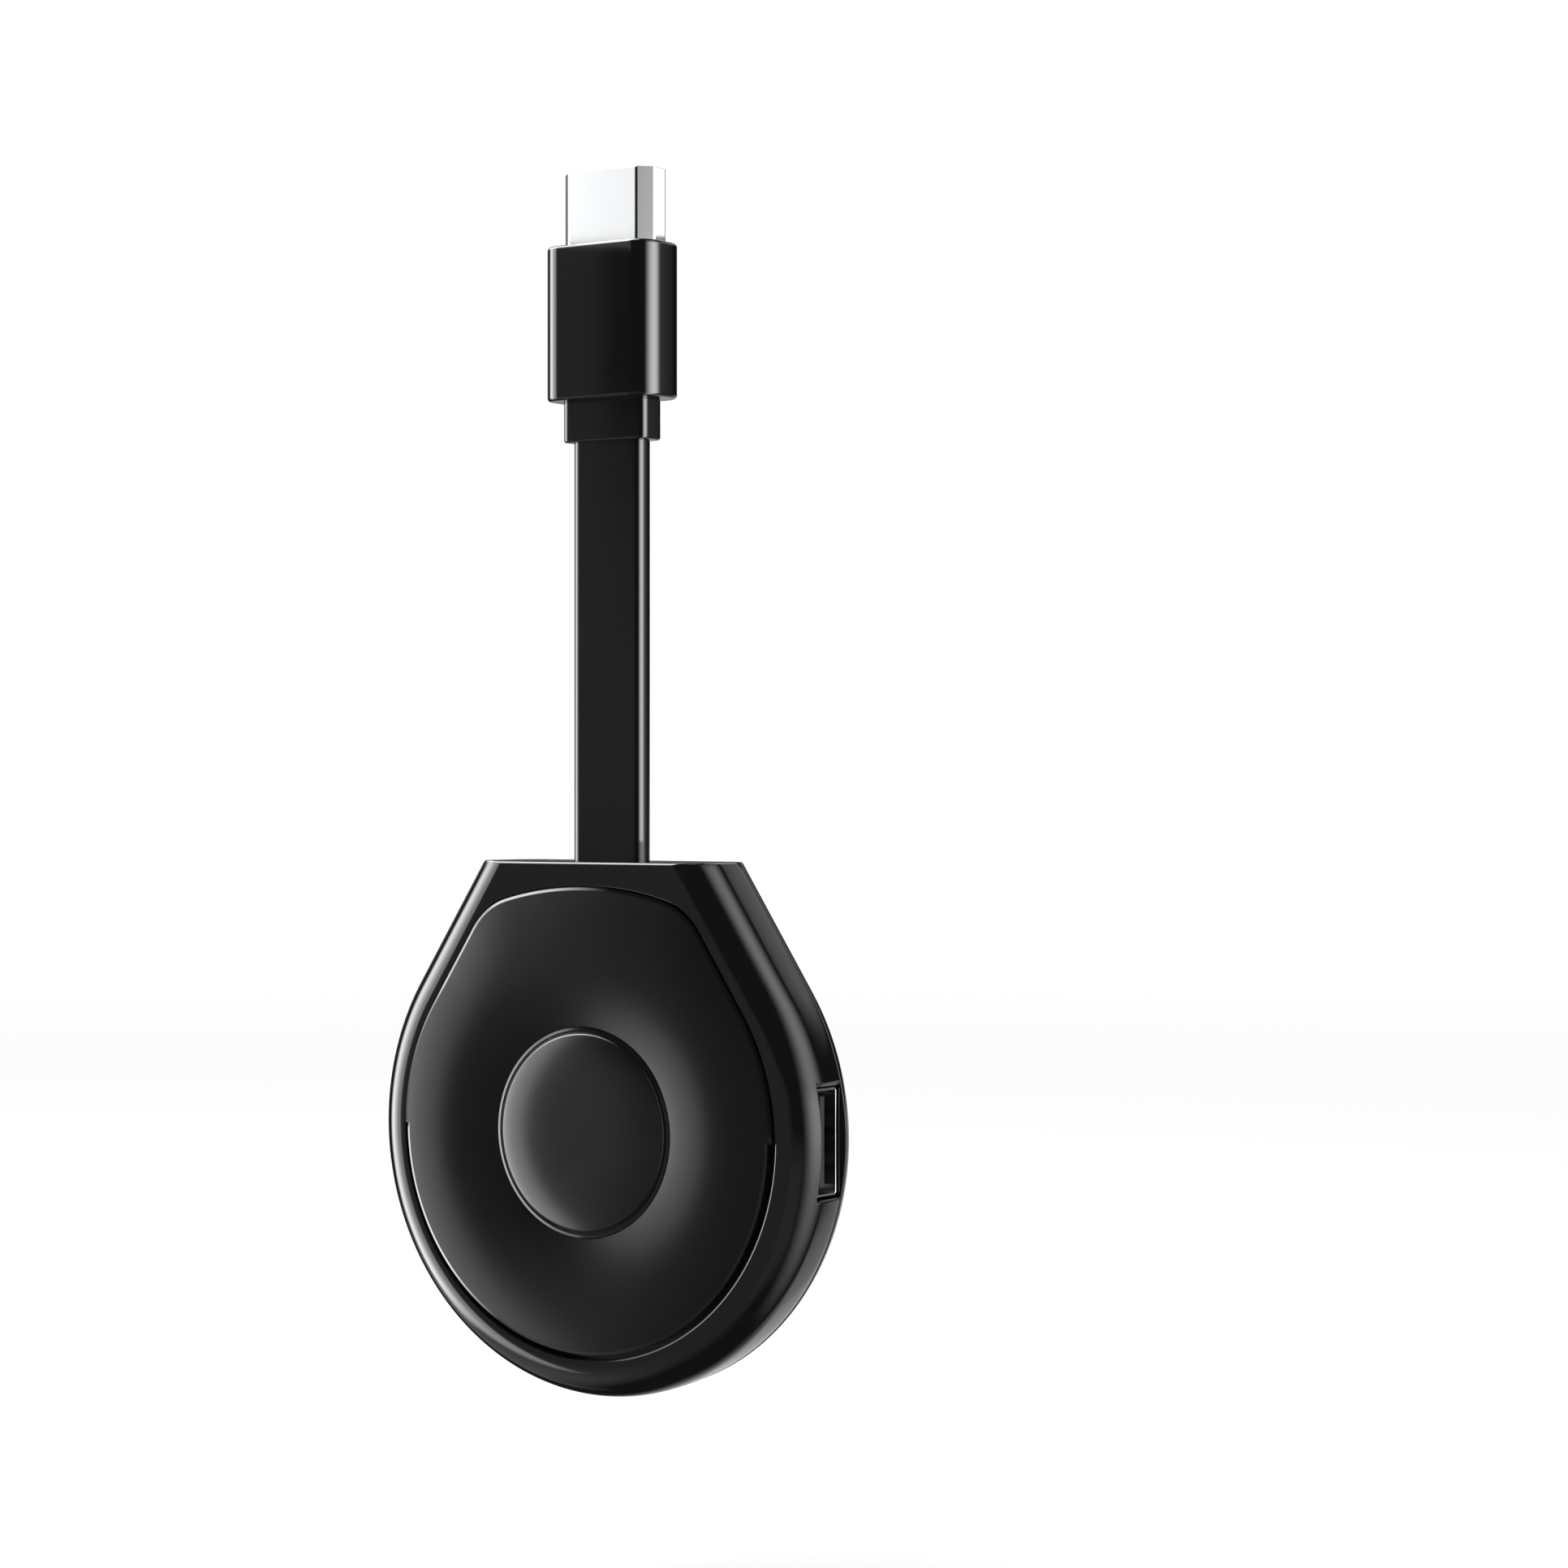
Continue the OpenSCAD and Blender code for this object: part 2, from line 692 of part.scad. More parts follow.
module main_board() {
  color("darkgreen") at_housing() translate([0, 0, board_back]) difference() {
    linear_extrude(board_t) difference() {
      drop_outline(board_inset, board_top);
      translate([usb_mouth - usb_len - usb_gap, -usb_h / 2 - usb_gap])
        square([usb_len + housing_r, usb_h + 2 * usb_gap]);
    }
    for (p = screw_places) translate([p.x, p.y, -over])
      cylinder(h = board_t + 2 * over, r = screw_r + screw_clear);
  }
}

module board_screws() {
  color("gray") at_housing() for (p = screw_places) translate([p.x, p.y, board_back]) {
    translate([0, 0, -screw_head_h]) cylinder(h = screw_head_h, r = screw_head_r);
    cylinder(h = screw_len, r = screw_r);
  }
}

module main_processor() {
  color("#2a2a2c") at_housing() on_board(0, soc_up, soc_side, soc_side, chip_h);
}

module thermal_pad() {
  color("lightblue") at_housing() translate([0, 0, chip_h]) on_board(0, soc_up, soc_side, soc_side, pad_t);
}

module heat_sink() {
  side = soc_side + 2 * heat_sink_grow;
  base_level = board_level + chip_h + pad_t;
  fin_h = cavity_front - heat_sink_gap - base_level - heat_sink_base;
  pitch = (side - fin_t) / (fin_count - 1);
  color("silver") at_housing() translate([-side / 2, soc_up - side / 2, base_level]) {
    cube([side, side, heat_sink_base]);
    for (i = [0 : fin_count - 1]) translate([i * pitch, 0, 0]) cube([fin_t, side, heat_sink_base + fin_h]);
  }
}

module memory_chips() {
  color("#2a2a2c") at_housing() for (sx = [-1, 1])
    on_board(sx * (memory_w / 2 + chip_gap / 2), memory_up, memory_w, memory_len, chip_h);
}

module flash_chip() {
  color("#2a2a2c") at_housing() under_board(0, soc_up, flash_w, flash_len, chip_h);
}

module power_chip() {
  color("#2a2a2c") at_housing()
    on_board(power_shares.x * board_r, power_shares.y * board_r, power_side, power_side, chip_h);
}

module wireless_module() {
  color("lightgray") at_housing() on_board(0, wireless_up, wireless_side, wireless_len, wireless_h);
}

module antenna_strip() {
  color("goldenrod") at_housing() rotate([0, 0, -90 - antenna_sweep / 2])
    rotate_extrude(angle = antenna_sweep)
      translate([housing_r - wall - fit - antenna_t, part_level + lip_h + fit])
        square([antenna_t, antenna_w]);
}

module crystal() {
  color("silver") at_housing()
    under_board(crystal_shares.x * board_r, crystal_shares.y * board_r, crystal_w, crystal_len, crystal_h);
}

module power_coils() {
  color("dimgray") at_housing() for (share = coil_up_shares)
    on_board(coil_x, share * board_r, coil_side, coil_side, coil_h);
}

module capacitors() {
  color("silver") at_housing() for (p = cap_shares)
    translate([p.x * board_r, p.y * board_r, board_level]) cylinder(h = cap_h, r = cap_r);
}

// Data port frame: x along the port from its mouth inwards is negative
module usb_shell() {
  color("silver") at_housing() translate([usb_mouth - usb_len, 0, usb_level]) difference() {
    translate([0, -usb_h / 2, -usb_t / 2]) cube([usb_len, usb_h, usb_t]);
    translate([usb_wall, usb_wall - usb_h / 2, usb_wall - usb_t / 2])
      cube([usb_len, usb_h - 2 * usb_wall, usb_t - 2 * usb_wall]);
  }
}

module usb_tongue() {
  base_h = usb_h - 2 * usb_wall;
  base_t = usb_t - 2 * usb_wall;
  color("#101012") at_housing() translate([usb_mouth - usb_len + usb_wall, 0, usb_level]) {
    translate([0, -base_h / 2, -base_t / 2]) cube([usb_base_len, base_h, base_t]);
    translate([0, -usb_tongue_h / 2, -usb_tongue_t / 2])
      cube([usb_len - usb_wall - usb_tongue_inset, usb_tongue_h, usb_tongue_t]);
  }
}

module usb_contacts() {
  color("gold") at_housing() for (p = usb_contact_places)
    translate([usb_mouth - usb_tongue_inset - usb_contact_inset - usb_contact_len, p - usb_contact_w / 2,
               usb_level - usb_tongue_t / 2 - usb_contact_t])
      cube([usb_contact_len, usb_contact_w, usb_contact_t]);
}

// Turns a shape drawn across the power inlet so that it runs inwards from the inlet's mouth
module along_inlet(start) {
  translate([start - inlet_mouth, 0, inlet_level]) rotate([0, 90, 0]) rotate([0, 0, 90]) children();
}

module inlet_shell() {
  color("silver") at_housing() along_inlet(0) difference() {
    linear_extrude(inlet_len) oval(inlet_w, inlet_t);
    translate([0, 0, -over]) linear_extrude(inlet_len - inlet_wall + over)
      oval(inlet_w - 2 * inlet_wall, inlet_t - 2 * inlet_wall);
  }
}

module inlet_tongue() {
  color("#101012") at_housing() {
    along_inlet(inlet_len - inlet_wall - inlet_base_len) linear_extrude(inlet_base_len)
      oval(inlet_w - 2 * inlet_wall, inlet_t - 2 * inlet_wall);
    along_inlet(inlet_tongue_inset)
      linear_extrude(inlet_len - inlet_wall - inlet_base_len - inlet_tongue_inset)
        square([inlet_tongue_w, inlet_tongue_t], center = true);
  }
}

module inlet_contacts() {
  first = -(inlet_contact_count - 1) / 2 * inlet_contact_pitch;
  color("gold") at_housing() along_inlet(inlet_tongue_inset + inlet_wall)
    for (i = [0 : inlet_contact_count - 1], sy = [-1, 1])
      translate([first + i * inlet_contact_pitch - inlet_contact_w / 2,
                 sy > 0 ? inlet_tongue_t / 2 : -inlet_tongue_t / 2 - inlet_contact_t, 0])
        cube([inlet_contact_w, inlet_contact_t, inlet_contact_len]);
}

button_seat = housing_r - wall - fit;

module reset_button() {
  color("#3a3b3e") at_housing() on_left_ray(button_angle, button_level) {
    translate([0, 0, button_seat - button_flange_t]) cylinder(h = button_flange_t, r = button_flange_r);
    translate([0, 0, button_seat - button_flange_t])
      cylinder(h = button_flange_t + wall + fit - button_sink, r = button_r);
  }
}

module reset_switch() {
  nub_end = button_seat - button_flange_t - button_travel - fit;
  color("#c9c9cc") at_housing() rotate([0, 0, 180 + button_angle]) {
    translate([nub_end - switch_nub_len - switch_len, -switch_w / 2, board_level])
      cube([switch_len, switch_w, switch_t]);
    translate([nub_end - switch_nub_len, 0, button_level]) rotate([0, 90, 0])
      cylinder(h = switch_nub_len, r = switch_nub_r);
  }
}

module light_guide() {
  seat = housing_r - wall - fit;
  color("white", 0.6) at_housing() on_left_ray(window_angle, window_level) {
    translate([0, 0, seat - window_flange_t]) cylinder(h = window_flange_t, r = window_flange_r);
    translate([0, 0, seat - window_flange_t]) cylinder(h = window_flange_t + wall + fit, r = window_r);
  }
}

module status_light() {
  end = housing_r - wall - fit - window_flange_t - fit;
  color("azure") at_housing() rotate([0, 0, 180 + window_angle])
    translate([end - light_len, -light_w / 2, board_level]) cube([light_len, light_w, light_h]);
}

plug_shell();
plug_insulator();
plug_contacts();
plug_inner_mould();
plug_cover();
strain_relief();
flat_cable();
cable_anchor();
cable_wires();
cable_header();
front_shell();
rear_shell();
face_panel();
centre_disc();
main_board();
board_screws();
main_processor();
thermal_pad();
heat_sink();
memory_chips();
flash_chip();
power_chip();
wireless_module();
antenna_strip();
crystal();
power_coils();
capacitors();
usb_shell();
usb_tongue();
usb_contacts();
inlet_shell();
inlet_tongue();
inlet_contacts();
reset_button();
reset_switch();
status_light();
light_guide();
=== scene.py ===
"""Dress the streaming media stick: its glossy shells, face panel, plug, flat cable, finishes and stage."""

import json
import math

import bmesh
import bpy
from bpy.props import FloatProperty, PointerProperty
from bpy.types import Operator, Panel, PropertyGroup
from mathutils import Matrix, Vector

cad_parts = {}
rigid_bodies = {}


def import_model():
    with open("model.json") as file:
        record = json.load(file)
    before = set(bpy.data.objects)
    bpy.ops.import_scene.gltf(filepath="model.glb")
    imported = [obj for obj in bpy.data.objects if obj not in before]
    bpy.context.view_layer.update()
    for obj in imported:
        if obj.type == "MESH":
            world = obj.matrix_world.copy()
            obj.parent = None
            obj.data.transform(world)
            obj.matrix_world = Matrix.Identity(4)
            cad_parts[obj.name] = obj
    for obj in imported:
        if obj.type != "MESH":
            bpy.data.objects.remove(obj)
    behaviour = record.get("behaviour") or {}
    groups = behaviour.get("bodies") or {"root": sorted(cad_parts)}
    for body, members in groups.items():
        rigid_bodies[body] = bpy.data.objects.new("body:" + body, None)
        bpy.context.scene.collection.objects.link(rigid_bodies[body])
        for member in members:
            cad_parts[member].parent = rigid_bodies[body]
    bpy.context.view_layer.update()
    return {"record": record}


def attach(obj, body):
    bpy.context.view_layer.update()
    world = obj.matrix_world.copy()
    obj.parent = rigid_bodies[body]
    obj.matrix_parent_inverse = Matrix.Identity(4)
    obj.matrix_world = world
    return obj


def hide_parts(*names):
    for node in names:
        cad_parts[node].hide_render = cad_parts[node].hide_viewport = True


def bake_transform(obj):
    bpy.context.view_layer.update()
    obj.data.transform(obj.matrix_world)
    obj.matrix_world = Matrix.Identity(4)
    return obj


bl_info = {
    "name": "Media Stick",
    "version": (1, 0, 0),
    "blender": (4, 5, 0),
    "location": "View3D > Sidebar > Stick",
    "description": "Builds the visible skins, finishes and studio of a streaming media stick",
    "category": "Object",
}

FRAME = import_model()

MM = 0.001

# Heights below the plug cover's top shoulder, in millimetres
COLLAR_Z = -19.6
CABLE_Z = -24.8
TOP_Z = -77.9
CENTRE_Z = -111.8

# Plug, cover, collar and cable. A root is how far a piece runs on inside its neighbour
PLUG_W, PLUG_T, PLUG_H, PLUG_ROOT = 13.9, 4.45, 9.4, 7.0
PLUG_CHAMFER, PLUG_WALL = 1.7, 0.3
PLUG_FRONT_BEND, PLUG_SIDE_BEND, PLUG_BACK_BEND = 0.6, 0.5, 0.6
METAL_LIP = 0.1
COVER_W, COVER_T, COVER_R = 16.9, 8.6, 3.0
COVER_ROUND = 0.45
COVER_HOLE_DEPTH, COVER_HOLE_FIT = 1.0, 0.02
COLLAR_W, COLLAR_T, COLLAR_R = 12.8, 4.5, 1.1
COLLAR_ROUND, COLLAR_ROOT = 0.3, 1.2
CABLE_W, CABLE_T, CABLE_R = 10.7, 3.2, 1.3
CABLE_ROOT = 10.6
CABLE_FIT = 0.05

# Housing: radii and heights from the disc's middle, levels from the cable's middle towards the front
HOUSING_R, HOUSING_DROP = 33.5, 33.9
SIDE_TILT = 33.1
FRONT, BACK, PARTING = 6.05, -6.1, -2.6
EDGE_R = 4.2
WALL = 1.5
CROWN = 0.25
TOP_CORNER_R, TOP_FILLET = 0.45, 0.4
PART_CHAMFER = 0.12
INNER_FRONT, INNER_FRONT_R = 4.0, 2.3
INNER_BACK_R = 2.0
LIP_FIT, LIP_T, LIP_TOP = 0.1, 0.8, -1.6
LIP_GAP = 0.02

# Face panel and disc. The groove round the panel is GROOVE_W wide, and GROOVE_STEP wider below mid height.
# The swell is highest at CREST_R, and falls by EDGE_FALL to the panel's edge and by DISC_FALL to the disc
RECESS = 4.8
PANEL_R, PANEL_TOP_R, PANEL_TOP, PANEL_CORNER_R = 28.25, 46.0, 30.7, 9.0
GROOVE_W, GROOVE_STEP = 0.3, 0.5
RECESS_BEVEL, RECESS_LOW_BEVEL, RECESS_BEVEL_SLOPE = 0.03, 0.16, 0.25
CREST_R, CREST, EDGE_FALL, DISC_FALL = 21.0, 7.15, 0.67, 0.85
PANEL_BEVEL, PANEL_BEVEL_H = 0.34, 0.12
PANEL_LOW_BEVEL, PANEL_LOW_BEVEL_H = 0.36, 0.08
STEP_ANGLE = 0.1
SEAT_R, SEAT = 13.3, 5.3
# The disc's dome falls off with a high power of the distance from its middle, so that it is flattest there
DISC_R, DISC_EDGE, DISC_DOME, DISC_FLATNESS = 13.2, 6.38, 0.55, 5.5
# Inset and rise of the disc's polished rim and of the fine groove inside it
DISC_RIM = ((0.36, 0.08), (0.38, -0.02), (0.52, -0.02), (0.54, 0.1))

# Openings and ports
USB_MOUTH, USB_LEN, USB_H, USB_T = 32.2, 14.0, 13.3, 5.3
USB_LEVEL, USB_WALL, USB_CORNER = 0.35, 0.35, 0.6
USB_GAP, USB_CUT_TOP = 0.25, 3.0
INLET_LEVEL, INLET_W, INLET_T = 1.0, 8.9, 3.2
BUTTON_ANGLE, BUTTON_LEVEL, BUTTON_R = 208.0, 0.1, 1.2
WINDOW_ANGLE, WINDOW_LEVEL, WINDOW_R = 156.0, 0.6, 1.05
VENT_COUNT, VENT_LEN, VENT_W, VENT_PITCH = 7, 18.0, 1.2, 3.4
ANCHOR_W, ANCHOR_T = 13.9, 5.4
# How far the cutters reach in from the sides and the top, and out beyond the surface
SIDE_CUT, TOP_CUT, ANCHOR_CUT, CUT_CLEAR = 3 * WALL, 2 * WALL, 4 * WALL, 1.0
REST_GAP, VENT_FLOOR = 0.1, -4.0
# Keeps the round ends of a slot just short of meeting
ROUND_SLACK = 0.01

# How finely each stretch of an outline is divided
SIDE_COUNT, CORNER_COUNT, TOP_COUNT = 24, 8, 36
UPPER_COUNT, LOWER_COUNT = 18, 100
ROUND_COUNT, SMALL_COUNT = 16, 5
RADIAL_COUNT, DISC_COUNT, DISC_RINGS = 28, 144, 26
WALL_COUNT = 5
CABLE_COUNT, BEND_COUNT, HOLE_COUNT = 84, 8, 32
# Steps in the rounding of cut edges and of the inner parts' edges
CUT_STEPS, EDGE_STEPS = 3, 2

# Limits below which a length in millimetres, a cross product and a share of a line count as zero
NEAR_ZERO, PARALLEL, ROUND_OFF = 0.001, 1e-9, 1e-6
# Names of the materials that mark uncut and cut faces until the finish replaces them
CUT_MARKS = ("cut.0", "cut.1")
# How strongly the larger faces settle the shading
FACE_WEIGHT = 80


class StickEdges(PropertyGroup):
    """Small roundings that catch the light along moulded and cut edges."""

    cut_round: FloatProperty(
        name="Cut rounding", description="Rounding where an opening is cut in a shell",
        default=0.12 * MM, min=0.0, max=0.4 * MM, unit="LENGTH", subtype="DISTANCE")
    metal_round: FloatProperty(
        name="Metal rounding", description="Rounding of the edges of the inner metal and plastic parts",
        default=0.06 * MM, min=0.0, max=0.2 * MM, unit="LENGTH", subtype="DISTANCE")


class StickStage(PropertyGroup):
    """Camera, floor and studio light."""

    floor_depth: FloatProperty(
        name="Floor depth", description="Depth of the floor below the origin",
        default=0.175, min=0.15, max=0.5, unit="LENGTH", subtype="DISTANCE")
    floor_radius: FloatProperty(
        name="Floor radius", description="Radius of the round floor",
        default=1.6, min=0.5, max=4.0, unit="LENGTH", subtype="DISTANCE")
    light_power: FloatProperty(
        name="Light power", description="Power of the soft light overhead, in watts",
        default=2.2, min=0.0, max=50.0, unit="POWER")
    camera_lens: FloatProperty(
        name="Lens", description="Focal length of the camera",
        default=85.92, min=20.0, max=200.0, unit="CAMERA")


def at_housing(x, up, level):
    """Turn millimetres in the housing's frame (right, up, towards the front) into a scene point."""
    return Vector((x, -level, CENTRE_Z + up)) * MM


def at_plug(x, y, z):
    """Turn millimetres in the object's frame into a scene point."""
    return Vector((x, y, z)) * MM


def housing_ring(loop, level):
    """An outline in the housing's frame, laid at one level."""
    return [at_housing(x, up, level) for x, up in loop]


def plug_ring(loop, z):
    """An outline in the object's frame, laid at one height."""
    return [at_plug(x, y, z) for x, y in loop]


def arc(centre, radius, start, end, count):
    """Points on an arc from start to end, in degrees, without the last one."""
    points = []
    for index in range(count):
        angle = math.radians(start + (end - start) * index / count)
        points.append((centre[0] + radius * math.cos(angle), centre[1] + radius * math.sin(angle)))
    return points


def line(start, end, count):
    """Points on a straight line from start to end, without the last one."""
    points = []
    for index in range(count):
        share = index / count
        points.append((start[0] + (end[0] - start[0]) * share, start[1] + (end[1] - start[1]) * share))
    return points


def mirrored(points):
    """The same points on the other side, in the opposite order."""
    return [(-x, y) for x, y in reversed(points)]


def full_ring(right, top, last, arcs):
    """Join the right side, the top, the mirrored left side and the arc of the round part."""
    return right + top + mirrored(right + [last]) + arcs


def round_part(radius, low_radius, step):
    """The arc below the two straight sides, with a radial step at mid height where step isn't zero."""
    left = arc((0, 0), radius, 180 - SIDE_TILT, 180 - step, UPPER_COUNT)[1:]
    right = arc((0, 0), radius, 360 + step, 360 + SIDE_TILT, UPPER_COUNT)
    if not step:
        return left + arc((0, 0), low_radius, 180, 360, LOWER_COUNT) + right
    left += arc((0, 0), radius, 180 - step, 180, 1)
    low = arc((0, 0), low_radius, 180 + step, 360 - step, LOWER_COUNT)
    low += arc((0, 0), low_radius, 360 - step, 360, 1)
    return left + low + right


def drop_ring(inset, top_inset, step=0.0):
    """Outline of the housing, moved in by inset, with its flat top moved down by top_inset."""
    tilt = math.radians(SIDE_TILT)
    out = (math.cos(tilt), math.sin(tilt))
    radius = HOUSING_R - inset
    top = HOUSING_DROP - top_inset
    centre_y = top - TOP_CORNER_R
    centre_x = (radius - TOP_CORNER_R - centre_y * out[1]) / out[0]
    foot = (radius * out[0], radius * out[1])
    shoulder = (centre_x + TOP_CORNER_R * out[0], centre_y + TOP_CORNER_R * out[1])
    right = line(foot, shoulder, SIDE_COUNT)
    right += arc((centre_x, centre_y), TOP_CORNER_R, SIDE_TILT, 90, CORNER_COUNT)
    last = (centre_x, top)
    return full_ring(right, line(last, (-centre_x, top), TOP_COUNT), last,
                     round_part(radius, radius, step))


def panel_ring(grow, low_grow, step):
    """Outline of the face panel, grown by grow above mid height and by low_grow below it."""
    tilt = math.radians(SIDE_TILT)
    out = (math.cos(tilt), math.sin(tilt))
    arch_y = PANEL_TOP - PANEL_TOP_R
    inner = PANEL_R - PANEL_CORNER_R
    base = (inner * out[0], inner * out[1] - arch_y)
    half_b = base[1] * out[0] - base[0] * out[1]
    reach = PANEL_TOP_R - PANEL_CORNER_R
    run = -half_b + math.sqrt(half_b ** 2 - base[0] ** 2 - base[1] ** 2 + reach ** 2)
    centre = (inner * out[0] - run * out[1], inner * out[1] + run * out[0])
    arch_angle = math.degrees(math.atan2(centre[1] - arch_y, centre[0]))
    radius, corner = PANEL_R + grow, PANEL_CORNER_R + grow
    foot = (radius * out[0], radius * out[1])
    shoulder = (centre[0] + corner * out[0], centre[1] + corner * out[1])
    right = line(foot, shoulder, SIDE_COUNT) + arc(centre, corner, SIDE_TILT, arch_angle, CORNER_COUNT)
    top = arc((0, arch_y), PANEL_TOP_R + grow, arch_angle, 180 - arch_angle, TOP_COUNT)
    return full_ring(right, top, top[0], round_part(radius, PANEL_R + low_grow, step))


def round_loop(corners, radii):
    """A closed outline through convex corners, each rounded with its own radius."""
    points = []
    size = len(corners)
    for index, corner in enumerate(corners):
        before = Vector(corners[index - 1]) - Vector(corner)
        after = Vector(corners[(index + 1) % size]) - Vector(corner)
        half = before.angle(after) / 2
        cut = radii[index] / math.tan(half)
        start = Vector(corner) + before.normalized() * cut
        end = Vector(corner) + after.normalized() * cut
        middle = (before.normalized() + after.normalized()).normalized()
        centre = Vector(corner) + middle * radii[index] / math.sin(half)
        first = math.atan2(start.y - centre.y, start.x - centre.x)
        sweep = math.atan2(end.y - centre.y, end.x - centre.x) - first
        sweep = (sweep + math.pi) % (2 * math.pi) - math.pi
        for step in range(BEND_COUNT + 1):
            angle = first + sweep * step / BEND_COUNT
            points.append((centre.x + radii[index] * math.cos(angle),
                           centre.y + radii[index] * math.sin(angle)))
    return points


def box_loop(width, depth, radius):
    """A rectangle with round corners, centred."""
    half_w, half_d = width / 2, depth / 2
    corners = [(half_w, -half_d), (half_w, half_d), (-half_w, half_d), (-half_w, -half_d)]
    return round_loop(corners, [radius] * len(corners))


def plug_loop(inset):
    """Outline of the plug's metal shell, moved in by inset, with its bends."""
    half_w, half_t = PLUG_W / 2 - inset, PLUG_T / 2 - inset
    cut = PLUG_CHAMFER - inset * (2 - math.sqrt(2))
    corners = [(half_w - cut, -half_t), (half_w, cut - half_t), (half_w, half_t), (-half_w, half_t),
               (-half_w, cut - half_t), (cut - half_w, -half_t)]
    bends = [PLUG_FRONT_BEND, PLUG_SIDE_BEND, PLUG_BACK_BEND, PLUG_BACK_BEND, PLUG_SIDE_BEND,
             PLUG_FRONT_BEND]
    return round_loop(corners, [bend - inset for bend in bends])


def on_outline(loop, target):
    """Points of the outline target in the directions of the points of loop, seen from the middle."""
    found = []
    for x, y in loop:
        best = None
        for index, (ax, ay) in enumerate(target):
            bx, by = target[(index + 1) % len(target)]
            cross = x * (by - ay) - y * (bx - ax)
            if abs(cross) < PARALLEL:
                continue
            reach = (ax * (by - ay) - ay * (bx - ax)) / cross
            share = (ax * y - ay * x) / cross
            if reach > 0 and -ROUND_OFF <= share <= 1 + ROUND_OFF:
                best = reach
        found.append((x * best, y * best))
    return found


def swell(radius, edge=PANEL_R):
    """Level of the panel's swell at a distance from the disc's middle, for an outline that is edge away."""
    if radius > CREST_R:
        run, fall = edge - CREST_R, EDGE_FALL
    else:
        run, fall = CREST_R - DISC_R, DISC_FALL
    bend = (run ** 2 + fall ** 2) / (2 * fall)
    return CREST - bend + math.sqrt(bend ** 2 - (radius - CREST_R) ** 2)


def loft(mesh, rings, sharp=(), closed=False, tag=0, capped=True):
    """Add a skin through rings of equal length, with its ends capped or joined to each other."""
    rows = [[mesh.verts.new(point) for point in ring] for ring in rings]
    pairs = list(zip(rows, rows[1:]))
    if closed:
        pairs.append((rows[-1], rows[0]))
    size = len(rows[0])
    faces = []
    for low, high in pairs:
        for index in range(size):
            after = (index + 1) % size
            faces.append(mesh.faces.new((low[index], low[after], high[after], high[index])))
    if capped and not closed:
        faces.append(mesh.faces.new(rows[0]))
        faces.append(mesh.faces.new(rows[-1]))
    for face in faces:
        face.smooth = True
        face.material_index = tag
    for row_index in sharp:
        row = rows[row_index]
        for index in range(size):
            edge = mesh.edges.get((row[index], row[(index + 1) % size]))
            edge.smooth = False
    bmesh.ops.recalc_face_normals(mesh, faces=faces)
    return faces


def new_object(name, mesh):
    """Turn a bmesh into an object in the scene."""
    data = bpy.data.meshes.new(name)
    mesh.to_mesh(data)
    mesh.free()
    piece = bpy.data.objects.new(name, data)
    bpy.context.scene.collection.objects.link(piece)
    return piece


def skin(name, rings, sharp=(), closed=False, capped=True):
    """A piece made of one lofted skin."""
    mesh = bmesh.new()
    loft(mesh, rings, sharp, closed, capped=capped)
    return new_object(name, mesh)


def dress(piece, slot, body, *nodes):
    """Give a piece its finish and body, and let it stand for the nodes that it shows."""
    piece.data.materials.clear()
    piece.data.materials.append(bpy.data.materials[slot])
    if body:
        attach(piece, body)
    if nodes:
        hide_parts(*nodes)


def smooth_normals(piece):
    """Let the large faces settle the shading of the small edge faces."""
    weigh = piece.modifiers.new("Even shading", "WEIGHTED_NORMAL")
    weigh.keep_sharp = True
    weigh.weight = FACE_WEIGHT


def carve(piece, cutters):
    """Cut the solids in a bmesh out of a piece, and mark the new edges for rounding."""
    tool = new_object(piece.name + ".cutter", cutters)
    for owner in (piece, tool):
        owner.data.materials.clear()
        for mark in CUT_MARKS:
            owner.data.materials.append(bpy.data.materials[mark])
    cut = piece.modifiers.new("Cut", "BOOLEAN")
    cut.operation = "DIFFERENCE"
    cut.solver = "EXACT"
    cut.object = tool
    graph = bpy.context.evaluated_depsgraph_get()
    data = bpy.data.meshes.new_from_object(piece.evaluated_get(graph), depsgraph=graph)
    piece.modifiers.clear()
    piece.data = data
    bpy.data.objects.remove(tool, do_unlink=True)
    mesh = bmesh.new()
    mesh.from_mesh(data)
    weight = mesh.edges.layers.float.new("bevel_weight_edge")
    for edge in mesh.edges:
        tags = {face.material_index for face in edge.link_faces}
        edge[weight] = 1.0 if len(tags) > 1 else 0.0
    for face in mesh.faces:
        face.material_index = 0
        face.smooth = True
    mesh.to_mesh(data)
    mesh.free()
    bevel = piece.modifiers.new("Cut rounding", "BEVEL")
    bevel.limit_method = "WEIGHT"
    bevel.segments = CUT_STEPS
    bevel.width = bpy.context.scene.stick_edges.cut_round
    bevel.use_clamp_overlap = False
    bevel.miter_outer = "MITER_ARC"


def add_box(mesh, low, high):
    """Add a cutter box between two corners of the housing's frame."""
    loop = [(low[0], low[1]), (high[0], low[1]), (high[0], high[1]), (low[0], high[1])]
    loft(mesh, [housing_ring(loop, level) for level in (low[2], high[2])], tag=1)


def add_ray_hole(mesh, loop, angle, level, start, end):
    """Add a cutter with the outline loop that runs out from the housing's middle at an angle."""
    turn = math.radians(angle)
    along, across = (math.cos(turn), math.sin(turn)), (-math.sin(turn), math.cos(turn))
    rings = []
    for reach in (start, end):
        rings.append([at_housing(reach * along[0] + side * across[0], reach * along[1] + side * across[1],
                                 level + rise) for side, rise in loop])
    loft(mesh, rings, tag=1)


